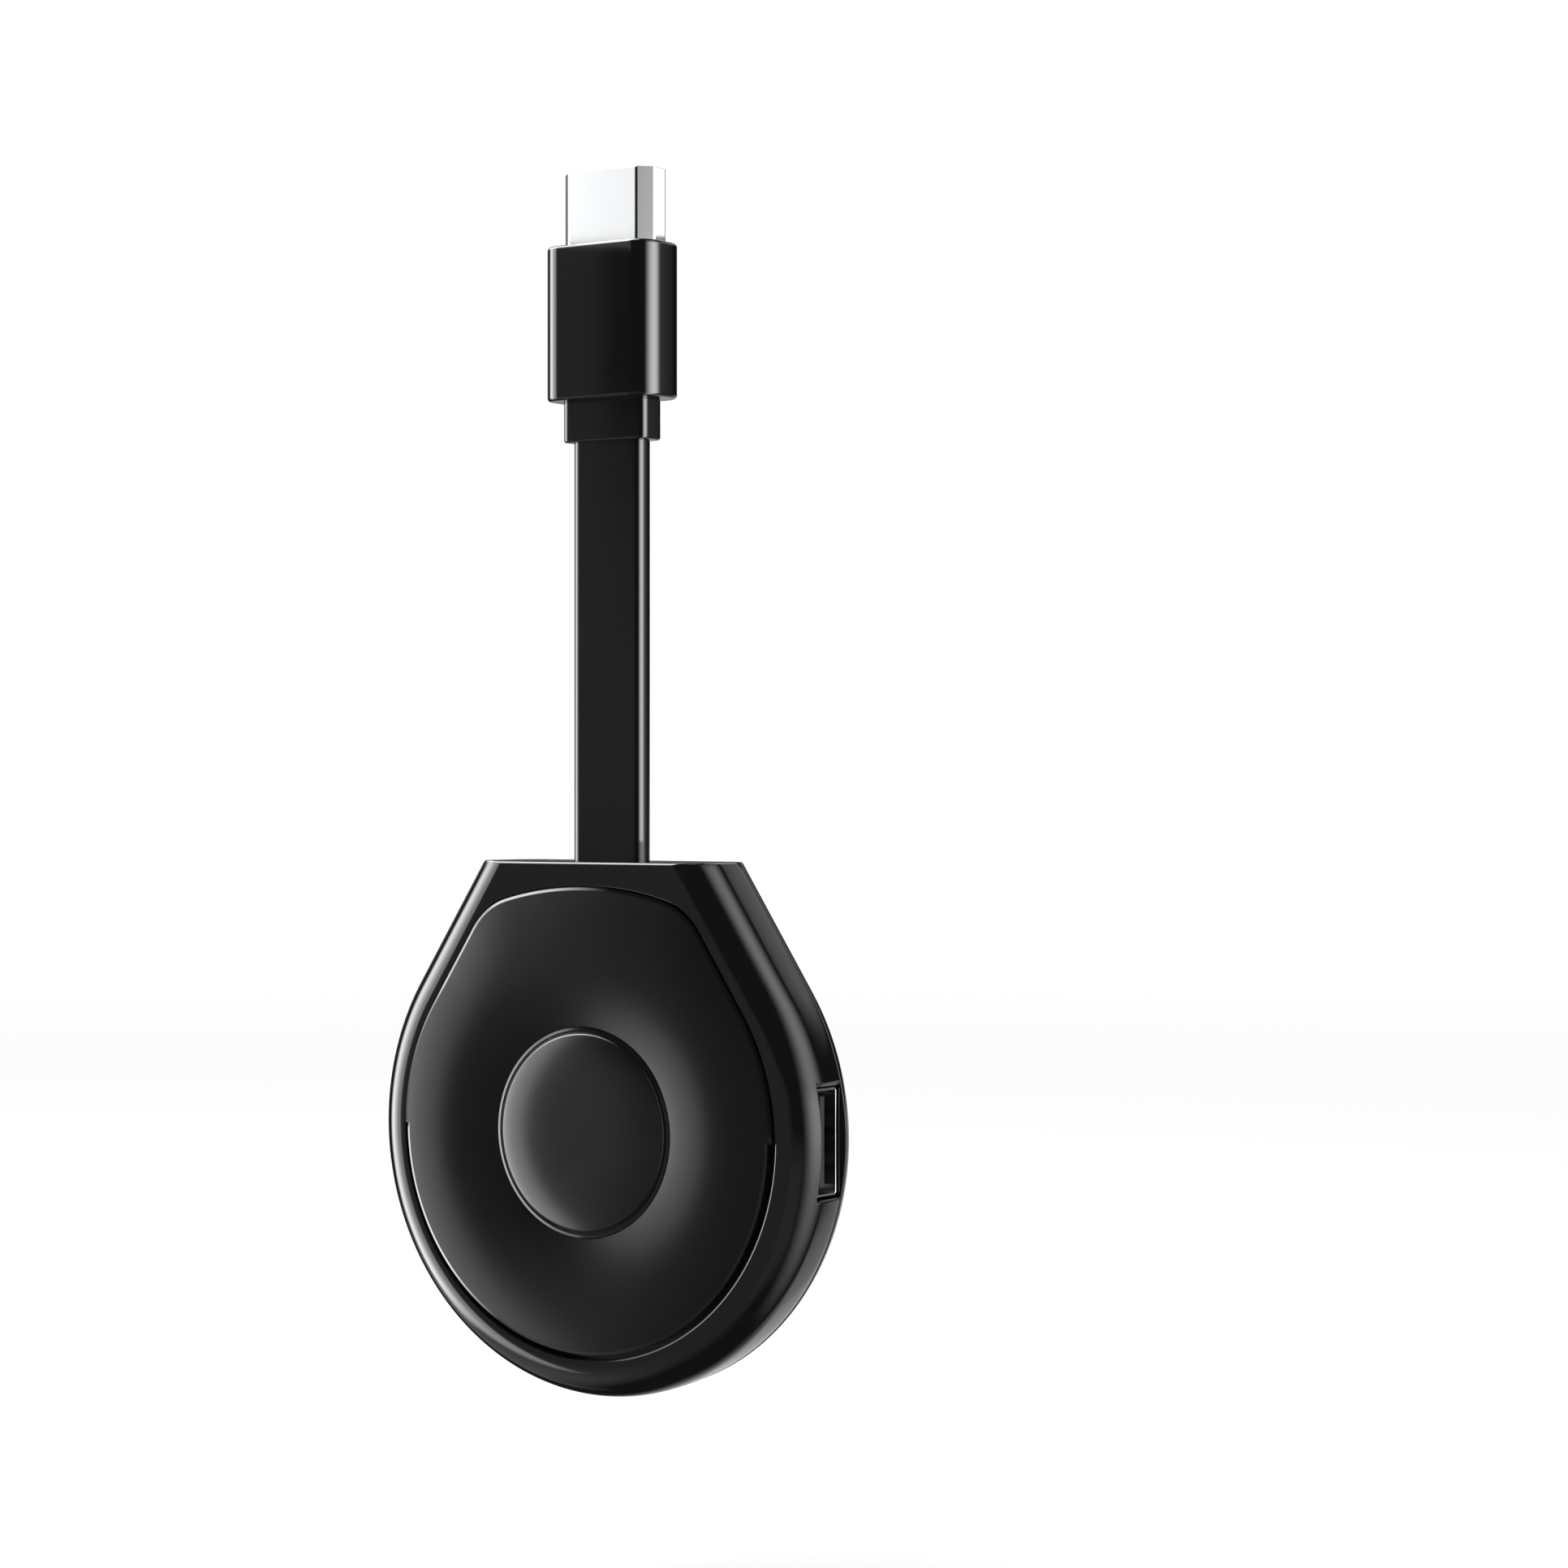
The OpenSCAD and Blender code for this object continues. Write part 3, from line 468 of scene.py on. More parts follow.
def fillet_rings(loop_at, top, foot, radius):
    """Rings of a column from its top down to its foot, with both of its ends rounded by radius."""
    angles = [math.radians(90 * index / SMALL_COUNT) for index in range(SMALL_COUNT + 1)]
    rings = []
    for angle in angles:
        inset, drop = radius * (1 - math.sin(angle)), radius * (1 - math.cos(angle))
        rings.append(plug_ring(loop_at(inset), top - drop))
    for angle in angles:
        inset, rise = radius * (1 - math.cos(angle)), radius * (1 - math.sin(angle))
        rings.append(plug_ring(loop_at(inset), foot + rise))
    return rings


def mouth_rings(ring_at, root, mouth, wall, inner_root):
    """Rings of an open metal shell: along its outside, round the lip of its mouth and back inside."""
    lip = METAL_LIP
    stops = [(0, root), (0, mouth - lip), (lip / 3, mouth - lip / 3), (lip, mouth),
             (wall - lip / 2, mouth), (wall, mouth - lip / 2), (wall, inner_root)]
    return [ring_at(inset, place) for inset, place in stops]


def cover_loop(inset):
    """Outline of the plug's cover, moved in by inset."""
    return box_loop(COVER_W - 2 * inset, COVER_T - 2 * inset, COVER_R - inset)


def collar_loop(inset):
    """Outline of the collar, moved in by inset."""
    return box_loop(COLLAR_W - 2 * inset, COLLAR_T - 2 * inset, COLLAR_R - inset)


class STICK_OT_plug(Operator):
    """Build the plug's folded metal shell, the moulded cover and the collar"""

    bl_idname = "stick.plug"
    bl_label = "Plug"

    def execute(self, context):
        def shell_ring(inset, z):
            return plug_ring(plug_loop(inset), z)

        rings = mouth_rings(shell_ring, -PLUG_ROOT, PLUG_H, PLUG_WALL, -PLUG_ROOT)
        shell = skin("plug_metal_shell", rings, closed=True)
        dress(shell, "plug_metal", "plug", "plug_shell")
        smooth_normals(shell)

        hole = on_outline(cover_loop(0), plug_loop(-COVER_HOLE_FIT))
        rings = [plug_ring(hole, -COVER_HOLE_DEPTH), plug_ring(hole, 0)]
        column = fillet_rings(cover_loop, 0, COLLAR_Z, COVER_ROUND)
        cover = skin("plug_cover_skin", rings + column, sharp=(1,))
        dress(cover, "gloss_black", "plug", "plug_cover")
        smooth_normals(cover)

        column = fillet_rings(collar_loop, COLLAR_Z + COLLAR_ROOT, CABLE_Z, COLLAR_ROUND)
        collar = skin("strain_relief_skin", column)
        dress(collar, "gloss_black", "plug", "strain_relief")
        smooth_normals(collar)
        return {"FINISHED"}


class STICK_OT_cable(Operator):
    """Build the flat cable, which runs between the plug and the housing"""

    bl_idname = "stick.cable"
    bl_label = "Flat cable"

    def execute(self, context):
        loop = box_loop(CABLE_W, CABLE_T, CABLE_R)
        top = CABLE_Z + CABLE_ROOT
        rings = []
        for index in range(CABLE_COUNT + 1):
            rings.append(plug_ring(loop, top + (TOP_Z - top) * index / CABLE_COUNT))
        cable = skin("flat_cable_jacket", rings, sharp=(0, CABLE_COUNT))
        dress(cable, "cable_jacket", None, "flat_cable")
        smooth_normals(cable)
        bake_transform(cable)
        return {"FINISHED"}


def shell_rings(sections, step=0.0):
    """Rings of the housing's outline from (inset, top inset, level) sections."""
    rings = []
    for inset, top_inset, level in sections:
        rings.append(housing_ring(drop_ring(inset, top_inset, step), level))
    return rings


def top_fall(height):
    """How far the flat top's small fillet pulls in, at a height above the fillet's start."""
    if height <= 0:
        return 0.0
    return TOP_FILLET - math.sqrt(max(TOP_FILLET ** 2 - height ** 2, 0.0))


def recess_rings():
    """Rings of the front's recess, from its floor up to the front face."""
    rings = [housing_ring(panel_ring(GROOVE_W, GROOVE_W, STEP_ANGLE), RECESS)]
    for share in (0.0, 1.0):
        outline = panel_ring(GROOVE_W + RECESS_BEVEL * share, GROOVE_W + RECESS_LOW_BEVEL * share,
                             STEP_ANGLE)
        ring = []
        for x, up in outline:
            bevel = RECESS_LOW_BEVEL if up < -NEAR_ZERO else RECESS_BEVEL
            ring.append(at_housing(x, up, FRONT - bevel * RECESS_BEVEL_SLOPE * (1 - share)))
        rings.append(ring)
    return rings


def front_sections():
    """Sections of the front shell, from the front face over its edge and wall to its inside."""
    sections = []
    for index in range(ROUND_COUNT, -1, -1):
        angle = math.radians(90 * index / ROUND_COUNT)
        level = FRONT - EDGE_R + EDGE_R * math.sin(angle)
        fall = top_fall(level - FRONT + TOP_FILLET)
        sections.append((EDGE_R * (1 - math.cos(angle)), fall, level))
    for index in range(1, WALL_COUNT + 1):
        share = index / WALL_COUNT
        level = FRONT - EDGE_R + (PARTING + PART_CHAMFER - FRONT + EDGE_R) * share
        sections.append((CROWN * share ** 2, 0, level))
    sections.append((CROWN + PART_CHAMFER, PART_CHAMFER, PARTING))
    sections.append((WALL, WALL, PARTING))
    for index in range(SMALL_COUNT + 1):
        angle = math.radians(90 * index / SMALL_COUNT)
        level = INNER_FRONT - INNER_FRONT_R + INNER_FRONT_R * math.sin(angle)
        sections.append((WALL + INNER_FRONT_R * (1 - math.cos(angle)), WALL, level))
    return sections


class STICK_OT_front_shell(Operator):
    """Build the deep front shell, with its recess and side openings"""

    bl_idname = "stick.front_shell"
    bl_label = "Front shell"

    def execute(self, context):
        rings = recess_rings() + shell_rings(front_sections(), STEP_ANGLE)
        shell = skin("front_shell_skin", rings, sharp=(0, 1, 2))
        cutters = bmesh.new()
        half = USB_H / 2 + USB_GAP
        start, end = HOUSING_R - SIDE_CUT, HOUSING_R + CUT_CLEAR
        add_box(cutters, (start, -half, PARTING - CUT_CLEAR), (end, half, USB_CUT_TOP))
        oval = box_loop(INLET_W + 2 * USB_GAP, INLET_T + 2 * USB_GAP, INLET_T / 2 + USB_GAP - ROUND_SLACK)
        add_ray_hole(cutters, oval, 180, INLET_LEVEL, start, end)
        for angle, level, radius in ((BUTTON_ANGLE, BUTTON_LEVEL, BUTTON_R),
                                     (WINDOW_ANGLE, WINDOW_LEVEL, WINDOW_R)):
            add_ray_hole(cutters, arc((0, 0), radius, 0, 360, HOLE_COUNT), angle, level, start, end)
        slot = box_loop(CABLE_W + CABLE_FIT, CABLE_T + CABLE_FIT, CABLE_R)
        add_ray_hole(cutters, slot, 90, 0, HOUSING_DROP - TOP_CUT, HOUSING_DROP + CUT_CLEAR)
        carve(shell, cutters)
        dress(shell, "gloss_black", "housing", "front_shell")
        smooth_normals(shell)
        return {"FINISHED"}


def rear_sections():
    """Sections of the rear shell, from inside its locating lip round the join to its flat back."""
    lip_out, lip_in = WALL + LIP_FIT, WALL + LIP_FIT + LIP_T
    inner_r = INNER_BACK_R - LIP_T
    sections = []
    for index in range(SMALL_COUNT, 0, -1):
        angle = math.radians(90 * index / SMALL_COUNT)
        level = PARTING - LIP_T - inner_r * math.sin(angle)
        sections.append((lip_in + inner_r * (1 - math.cos(angle)), lip_in, level))
    sections += [(lip_in, lip_in, PARTING - LIP_T), (lip_in, lip_in, LIP_TOP),
                 (lip_out, lip_out, LIP_TOP), (lip_out, lip_out, PARTING - LIP_GAP),
                 (CROWN + PART_CHAMFER, PART_CHAMFER, PARTING - LIP_GAP)]
    first = math.atan(2 * CROWN / (FRONT - EDGE_R - PARTING))
    radius = (PARTING - LIP_GAP - PART_CHAMFER - BACK) / (1 - math.sin(first))
    for index in range(ROUND_COUNT + 1):
        angle = first + (math.pi / 2 - first) * index / ROUND_COUNT
        level = BACK + radius * (1 - math.sin(angle))
        fall = top_fall(BACK + TOP_FILLET - level)
        sections.append((CROWN + radius * (math.cos(first) - math.cos(angle)), fall, level))
    return sections


class STICK_OT_rear_shell(Operator):
    """Build the shallow rear shell, with its locating lip and vent slots"""

    bl_idname = "stick.rear_shell"
    bl_label = "Rear shell"

    def execute(self, context):
        shell = skin("rear_shell_skin", shell_rings(rear_sections()))
        cutters = bmesh.new()
        vent = box_loop(VENT_LEN, VENT_W, VENT_W / 2 - ROUND_SLACK)
        for index in range(VENT_COUNT):
            up = (index - (VENT_COUNT - 1) / 2) * VENT_PITCH
            slot = [(x, y + up) for x, y in vent]
            loft(cutters, [housing_ring(slot, level) for level in (BACK - CUT_CLEAR, VENT_FLOOR)], tag=1)
        half = USB_H / 2 + USB_GAP
        add_box(cutters, (USB_MOUTH - USB_LEN - WALL, -half, USB_LEVEL - USB_T / 2 - REST_GAP),
                (HOUSING_R - WALL, half, USB_T))
        add_box(cutters, (-ANCHOR_W / 2 - REST_GAP, HOUSING_DROP - ANCHOR_CUT, -ANCHOR_T / 2 - REST_GAP),
                (ANCHOR_W / 2 + REST_GAP, HOUSING_DROP - WALL - REST_GAP, ANCHOR_T / 2))
        carve(shell, cutters)
        dress(shell, "gloss_black", "housing", "rear_shell")
        smooth_normals(shell)
        return {"FINISHED"}


def panel_rings():
    """Rings of the face panel, from its foot in the recess over the swell to the disc's seat."""
    edge = panel_ring(0, -GROOVE_STEP, STEP_ANGLE)
    inner_edge = panel_ring(-PANEL_BEVEL, -GROOVE_STEP - PANEL_LOW_BEVEL, STEP_ANGLE)
    top = []
    for x, up in edge:
        fall = PANEL_LOW_BEVEL_H if up < 0 else PANEL_BEVEL_H
        reach = math.hypot(x, up)
        top.append(at_housing(x, up, swell(reach, max(reach, PANEL_R)) - fall))
    rings = [housing_ring(edge, RECESS), top]
    for index in range(RADIAL_COUNT + 1):
        share = index / RADIAL_COUNT
        ring = []
        for x, up in inner_edge:
            reach = math.hypot(x, up)
            scale = (1 - share) + share * SEAT_R / reach
            ring.append(at_housing(x * scale, up * scale, swell(reach * scale, max(reach, PANEL_R))))
        rings.append(ring)
    seat = []
    for x, up in inner_edge:
        scale = SEAT_R / math.hypot(x, up)
        seat.append(at_housing(x * scale, up * scale, SEAT))
    return rings + [seat]


def disc_rings():
    """Rings of the disc, from its foot in the seat over its rim and groove to the top of its dome."""
    stops = [(DISC_R, SEAT), (DISC_R, DISC_EDGE)]
    for inset, rise in DISC_RIM:
        stops.append((DISC_R - inset, DISC_EDGE + rise))
    face_r, face = stops[-1]
    for index in range(1, DISC_RINGS):
        share = 1 - index / DISC_RINGS
        stops.append((face_r * share, face + DISC_DOME * (1 - share ** DISC_FLATNESS)))
    return [housing_ring(arc((0, 0), radius, 0, 360, DISC_COUNT), level) for radius, level in stops]


class STICK_OT_face(Operator):
    """Build the face panel with its ring-shaped swell, and the domed disc in its seat"""

    bl_idname = "stick.face"
    bl_label = "Face panel and disc"

    def execute(self, context):
        rings = panel_rings()
        rim = skin("face_panel_rim", rings[:3], sharp=(0, 1, 2), capped=False)
        dress(rim, "gloss_black", "housing", "face_panel")
        last = len(rings) - 3
        panel = skin("face_panel_skin", rings[2:], sharp=(0, last - 1, last), capped=False)
        dress(panel, "panel_black", "housing", "face_panel")

        rings = disc_rings()
        last = 1 + len(DISC_RIM)
        rim = skin("centre_disc_rim", rings[:last + 1], sharp=range(last + 1), capped=False)
        dress(rim, "gloss_black", "housing", "centre_disc")
        disc = skin("centre_disc_skin", rings[last:])
        dress(disc, "disc_black", "housing", "centre_disc")
        return {"FINISHED"}


class STICK_OT_port(Operator):
    """Build the data port's folded metal shell"""

    bl_idname = "stick.port"
    bl_label = "Data port"

    def execute(self, context):
        def port_ring(inset, x):
            loop = box_loop(USB_H - 2 * inset, USB_T - 2 * inset, USB_CORNER - inset)
            return [at_housing(x, up, USB_LEVEL + rise) for up, rise in loop]

        back = USB_MOUTH - USB_LEN
        rings = mouth_rings(port_ring, back, USB_MOUTH, USB_WALL, back + USB_WALL)
        port = skin("data_port_shell", rings, sharp=(0,))
        dress(port, "port_metal", "housing", "usb_shell")
        smooth_normals(port)
        # Without this the contacts are mirrored as gold spots in the port's polished wall
        bpy.data.objects["usb_contacts"].visible_glossy = False
        return {"FINISHED"}


# Slot: base colour, metallic, roughness, its spread, grain size in metres, grain depth in metres,
# share of colour variation, and for clear parts the transmission
FINISHES = {
    "plug_metal": ((0.86, 0.87, 0.88), 1.0, 0.09, 0.03, 0.00025, 0.0000001, 0.04, 0.0),
    "port_metal": ((0.80, 0.80, 0.82), 1.0, 0.15, 0.05, 0.00025, 0.0000004, 0.05, 0.0),
    "insulator": ((0.020, 0.020, 0.022), 0.0, 0.45, 0.08, 0.00020, 0.0000015, 0.15, 0.0),
    "contact_gold": ((0.85, 0.62, 0.28), 1.0, 0.25, 0.08, 0.00015, 0.0000005, 0.08, 0.0),
    "inner_mould": ((0.12, 0.12, 0.13), 0.0, 0.55, 0.08, 0.00030, 0.0000030, 0.10, 0.0),
    "gloss_black": ((0.0045, 0.0045, 0.0048), 0.0, 0.06, 0.02, 0.0030, 0.0000002, 0.12, 0.0),
    "panel_black": ((0.0050, 0.0050, 0.0054), 0.0, 0.22, 0.02, 0.0030, 0.0000002, 0.12, 0.0),
    "disc_black": ((0.0048, 0.0048, 0.0052), 0.0, 0.18, 0.02, 0.0030, 0.0000002, 0.12, 0.0),
    "cable_jacket": ((0.0050, 0.0050, 0.0054), 0.0, 0.08, 0.03, 0.0012, 0.0000004, 0.15, 0.0),
    "copper": ((0.72, 0.38, 0.20), 1.0, 0.30, 0.10, 0.00020, 0.0000008, 0.10, 0.0),
    "header_plastic": ((0.80, 0.79, 0.74), 0.0, 0.40, 0.08, 0.00030, 0.0000020, 0.05, 0.0),
    "board_green": ((0.010, 0.120, 0.050), 0.0, 0.28, 0.08, 0.00040, 0.0000040, 0.20, 0.0),
    "screw_steel": ((0.60, 0.60, 0.62), 1.0, 0.35, 0.10, 0.00020, 0.0000010, 0.08, 0.0),
    "chip_black": ((0.030, 0.030, 0.032), 0.0, 0.60, 0.08, 0.00015, 0.0000030, 0.15, 0.0),
    "thermal_pad": ((0.30, 0.45, 0.60), 0.0, 0.75, 0.05, 0.00060, 0.0000060, 0.08, 0.0),
    "sink_aluminium": ((0.75, 0.75, 0.77), 1.0, 0.38, 0.10, 0.00020, 0.0000015, 0.06, 0.0),
    "coil_grey": ((0.10, 0.10, 0.11), 0.0, 0.60, 0.10, 0.00020, 0.0000050, 0.15, 0.0),
    "button_grey": ((0.050, 0.050, 0.055), 0.0, 0.42, 0.08, 0.00020, 0.0000020, 0.12, 0.0),
    "window_clear": ((0.90, 0.92, 0.95), 0.0, 0.08, 0.03, 0.00080, 0.0000004, 0.03, 0.9),
}
# Reflection strength of ordinary plastic, and of the slots that differ from it
PLAIN_SHINE = 0.5
SHINE = {"panel_black": 0.16, "disc_black": 0.42}
# Kinds of group socket
COLOUR, NUMBER, VECTOR = "NodeSocketColor", "NodeSocketFloat", "NodeSocketVector"
# Size in metres of the clouds in colour and haze, and how fine and how rough the noises are
MOTTLE_SIZE = 0.012
MOTTLE_DETAIL, GRAIN_DETAIL = 3.0, 2.0
PLAIN_NOISE, HAZE_NOISE = 0.5, 0.6


def add_node(tree, kind, **values):
    """Add a node and set its properties."""
    node = tree.nodes.new(kind)
    for key, value in values.items():
        setattr(node, key, value)
    return node


def feed(tree, socket, value):
    """Link or set an input socket."""
    if isinstance(value, bpy.types.NodeSocket):
        tree.links.new(value, socket)
    else:
        socket.default_value = value


def calculate(tree, operation, *values):
    """Add a maths node and return its result."""
    node = add_node(tree, "ShaderNodeMath", operation=operation)
    for socket, value in zip(node.inputs, values):
        feed(tree, socket, value)
    return node.outputs[0]


def new_group(name, inputs, outputs):
    """Start a shader node group with named sockets, and return the tree and its two end nodes."""
    tree = bpy.data.node_groups.new(name, "ShaderNodeTree")
    for sockets, side in ((inputs, "INPUT"), (outputs, "OUTPUT")):
        for label, kind in sockets.items():
            tree.interface.new_socket(label, in_out=side, socket_type=kind)
    return tree, add_node(tree, "NodeGroupInput"), add_node(tree, "NodeGroupOutput")


def noise(tree, size, detail, roughness=PLAIN_NOISE):
    """Noise in object space, with its features at a size in metres."""
    place = add_node(tree, "ShaderNodeTexCoord")
    texture = add_node(tree, "ShaderNodeTexNoise")
    feed(tree, texture.inputs["Vector"], place.outputs["Object"])
    feed(tree, texture.inputs["Scale"], calculate(tree, "DIVIDE", 1.0, size))
    texture.inputs["Detail"].default_value = detail
    texture.inputs["Roughness"].default_value = roughness
    return texture.outputs["Fac"]


def swing(tree, cloud):
    """Spread a noise round zero, from -1 to 1."""
    return calculate(tree, "MULTIPLY", calculate(tree, "SUBTRACT", cloud, 0.5), 2.0)


def make_groups():
    """Make the node groups that the finishes share: colour mottle, haze and grain."""
    inputs = {"Colour": COLOUR, "Size": NUMBER, "Amount": NUMBER}
    tree, entry, end = new_group("stick_mottle", inputs, {"Colour": COLOUR})
    cloud = swing(tree, noise(tree, entry.outputs["Size"], MOTTLE_DETAIL))
    gain = calculate(tree, "MULTIPLY_ADD", cloud, entry.outputs["Amount"], 1.0)
    scale = add_node(tree, "ShaderNodeVectorMath", operation="SCALE")
    feed(tree, scale.inputs[0], entry.outputs["Colour"])
    feed(tree, scale.inputs["Scale"], gain)
    tree.links.new(scale.outputs[0], end.inputs["Colour"])

    inputs = {"Roughness": NUMBER, "Spread": NUMBER, "Size": NUMBER}
    tree, entry, end = new_group("stick_haze", inputs, {"Roughness": NUMBER})
    cloud = swing(tree, noise(tree, entry.outputs["Size"], MOTTLE_DETAIL, HAZE_NOISE))
    rough = calculate(tree, "MULTIPLY_ADD", cloud, entry.outputs["Spread"], entry.outputs["Roughness"])
    tree.links.new(rough, end.inputs["Roughness"])

    tree, entry, end = new_group("stick_grain", {"Size": NUMBER, "Depth": NUMBER}, {"Normal": VECTOR})
    cloud = noise(tree, entry.outputs["Size"], GRAIN_DETAIL)
    bump = add_node(tree, "ShaderNodeBump")
    feed(tree, bump.inputs["Height"], cloud)
    feed(tree, bump.inputs["Distance"], entry.outputs["Depth"])
    tree.links.new(bump.outputs["Normal"], end.inputs["Normal"])


def use_group(tree, name, **values):
    """Add a group node and set its inputs."""
    node = add_node(tree, "ShaderNodeGroup", node_tree=bpy.data.node_groups[name])
    for label, value in values.items():
        node.inputs[label].default_value = value
    return node


def make_finish(slot, values):
    """Make the material of one slot."""
    colour, metallic, roughness, spread, grain, depth, variation, clear = values
    material = bpy.data.materials.get(slot) or bpy.data.materials.new(slot)
    material.use_nodes = True
    tree = material.node_tree
    tree.nodes.clear()
    shader = add_node(tree, "ShaderNodeBsdfPrincipled")
    output = add_node(tree, "ShaderNodeOutputMaterial")
    tree.links.new(shader.outputs[0], output.inputs["Surface"])
    mottle = use_group(tree, "stick_mottle", Colour=(*colour, 1.0), Size=MOTTLE_SIZE, Amount=variation)
    haze = use_group(tree, "stick_haze", Roughness=roughness, Spread=spread, Size=MOTTLE_SIZE)
    relief = use_group(tree, "stick_grain", Size=grain, Depth=depth)
    tree.links.new(mottle.outputs["Colour"], shader.inputs["Base Color"])
    tree.links.new(haze.outputs["Roughness"], shader.inputs["Roughness"])
    tree.links.new(relief.outputs["Normal"], shader.inputs["Normal"])
    shader.inputs["Metallic"].default_value = metallic
    shader.inputs["Specular IOR Level"].default_value = SHINE.get(slot, PLAIN_SHINE)
    shader.inputs["Transmission Weight"].default_value = clear
    return material


class STICK_OT_finishes(Operator):
    """Make the finishes and give them to the nodes that keep their own shape"""

    bl_idname = "stick.finishes"
    bl_label = "Finishes"

    def execute(self, context):
        make_groups()
        for slot, values in FINISHES.items():
            make_finish(slot, values)
        for mark in CUT_MARKS:
            bpy.data.materials.new(mark)
        for part in FRAME["record"]["subparts"]:
            node = bpy.data.objects[part["node"]]
            material = bpy.data.materials[part["material_slot"]]
            for holder in node.material_slots:
                holder.material = material
            if not node.material_slots:
                node.data.materials.append(material)
        return {"FINISHED"}


class STICK_OT_inner_edges(Operator):
    """Round the edges of the nodes that keep their own shape"""

    bl_idname = "stick.inner_edges"
    bl_label = "Inner edges"

    def execute(self, context):
        for part in FRAME["record"]["subparts"]:
            node = bpy.data.objects[part["node"]]
            bevel = node.modifiers.new("Edge rounding", "BEVEL")
            bevel.limit_method = "ANGLE"
            bevel.segments = EDGE_STEPS
            bevel.width = context.scene.stick_edges.metal_round
        return {"FINISHED"}


# Azimuths past the back, at 180 degrees, for the soft panels that reach all the way to it
OPEN_START, OPEN_END = (-999, -998), (998, 999)
# Soft panels of the studio, as seen in reflections. Azimuth is 0 in front of the face panel and grows
# towards the data port, height is 0 at the horizon, both in degrees. Each panel has four azimuths and
# four heights, where its light starts to rise, is full, starts to fall and is gone, and a brightness
SOFT_PANELS = (
    ("left_key", (-97, -76, -76, -44), (-31, -22, 11, 18), 6.6),
    ("left_key_edge", (-97, -77, -43, -40), (-31, -22, 11, 18), 3.4),
    ("left_back_glow", (-150, -130, -118, -106), (-4, 10, 40, 60), 0.2),
    ("left_floor_glow", (-116, -104, -60, -20), (-60, -44, -24, -10), 0.45),
    ("right_fill", (45, 95, 98, 152), (-70, 0, 48, 58), 3.2),
    ("right_fill_core", (45, 95, 98, 152), (-20, 0, 8, 14), 1.1),
    ("overhead", (-120, -90, -50, -38), (12, 22, 80, 90), 14.0),
    ("right_back", (148, 164, *OPEN_END), (-70, -40, -2, 0.5), 0.7),
    ("right_back_high", (150, 170, *OPEN_END), (12, 22, 40, 60), 0.6),
    ("back", (*OPEN_START, -155, -135), (-70, -40, -2, 2), 0.9),
    ("back_high", (*OPEN_START, -155, -140), (12, 22, 40, 60), 1.0),
    ("front_haze", (-110, -60, 0, 18), (-60, -40, 3, 6), 0.2),
    ("front_haze_low", (0, 16, 40, 56), (-50, -35, -12, -2), 0.3),
    ("front_haze_high", (-80, -60, -35.8, -35.4), (3, 6, 12, 20), 0.24),
)
# Light between the soft panels, and of the plain backdrop
STUDIO_DARK, BACKDROP = 0.02, 1.0
# Cards that only reflections show: name, place, width and height in metres, brightness, and the share of
# the half width over which the light fades
CARDS = (
    ("plug_card", (-0.036, -0.050, 0.0170), (0.054, 0.0184), 0.92, 0.05),
    ("plug_side_card", (0.023, 0.025, 0.0105), (0.014, 0.0115), 1.2, 0.05),
    ("side_card", (0.017, -0.0015, -0.037), (0.018, 0.077), 7.5, 1.0),
)
# Rings of the floor and the start and end of its fade, as shares of its radius
FLOOR_RINGS, FLOOR_FADE = (0.0005, 0.1, 0.2, 0.4, 0.7, 1.0), (0.45, 0.98)
FLOOR_COUNT, FLOOR_GREY, FLOOR_ROUGHNESS = 96, 0.92, 0.9
CAMERA_PLACE, CAMERA_TURN, SENSOR = (0.27604, -0.38584, -0.06813), 32.95, 36.0
LAMP_PLACE, LAMP_TARGET, LAMP_SIZE = (-0.25, -0.30, 0.55), (0.0, 0.0, -0.1), 0.5


def blend_value(tree, low, high, factor):
    """Mix two values."""
    return calculate(tree, "MULTIPLY_ADD", calculate(tree, "SUBTRACT", high, low), factor, low)


def rise_between(tree, value, start, end, shape="SMOOTHSTEP"):
    """0 before start, 1 after end, and a step of the given shape between them."""
    step = add_node(tree, "ShaderNodeMapRange", interpolation_type=shape)
    feed(tree, step.inputs["Value"], value)
    step.inputs["From Min"].default_value = start
    step.inputs["From Max"].default_value = end
    return step.outputs["Result"]


def soft_window(tree, value, stops, shape):
    """1 between the two middle stops, falling to 0 at the outer ones."""
    rise = rise_between(tree, value, stops[0], stops[1], shape)
    fall = rise_between(tree, value, stops[3], stops[2], shape)
    return calculate(tree, "MULTIPLY", rise, fall)


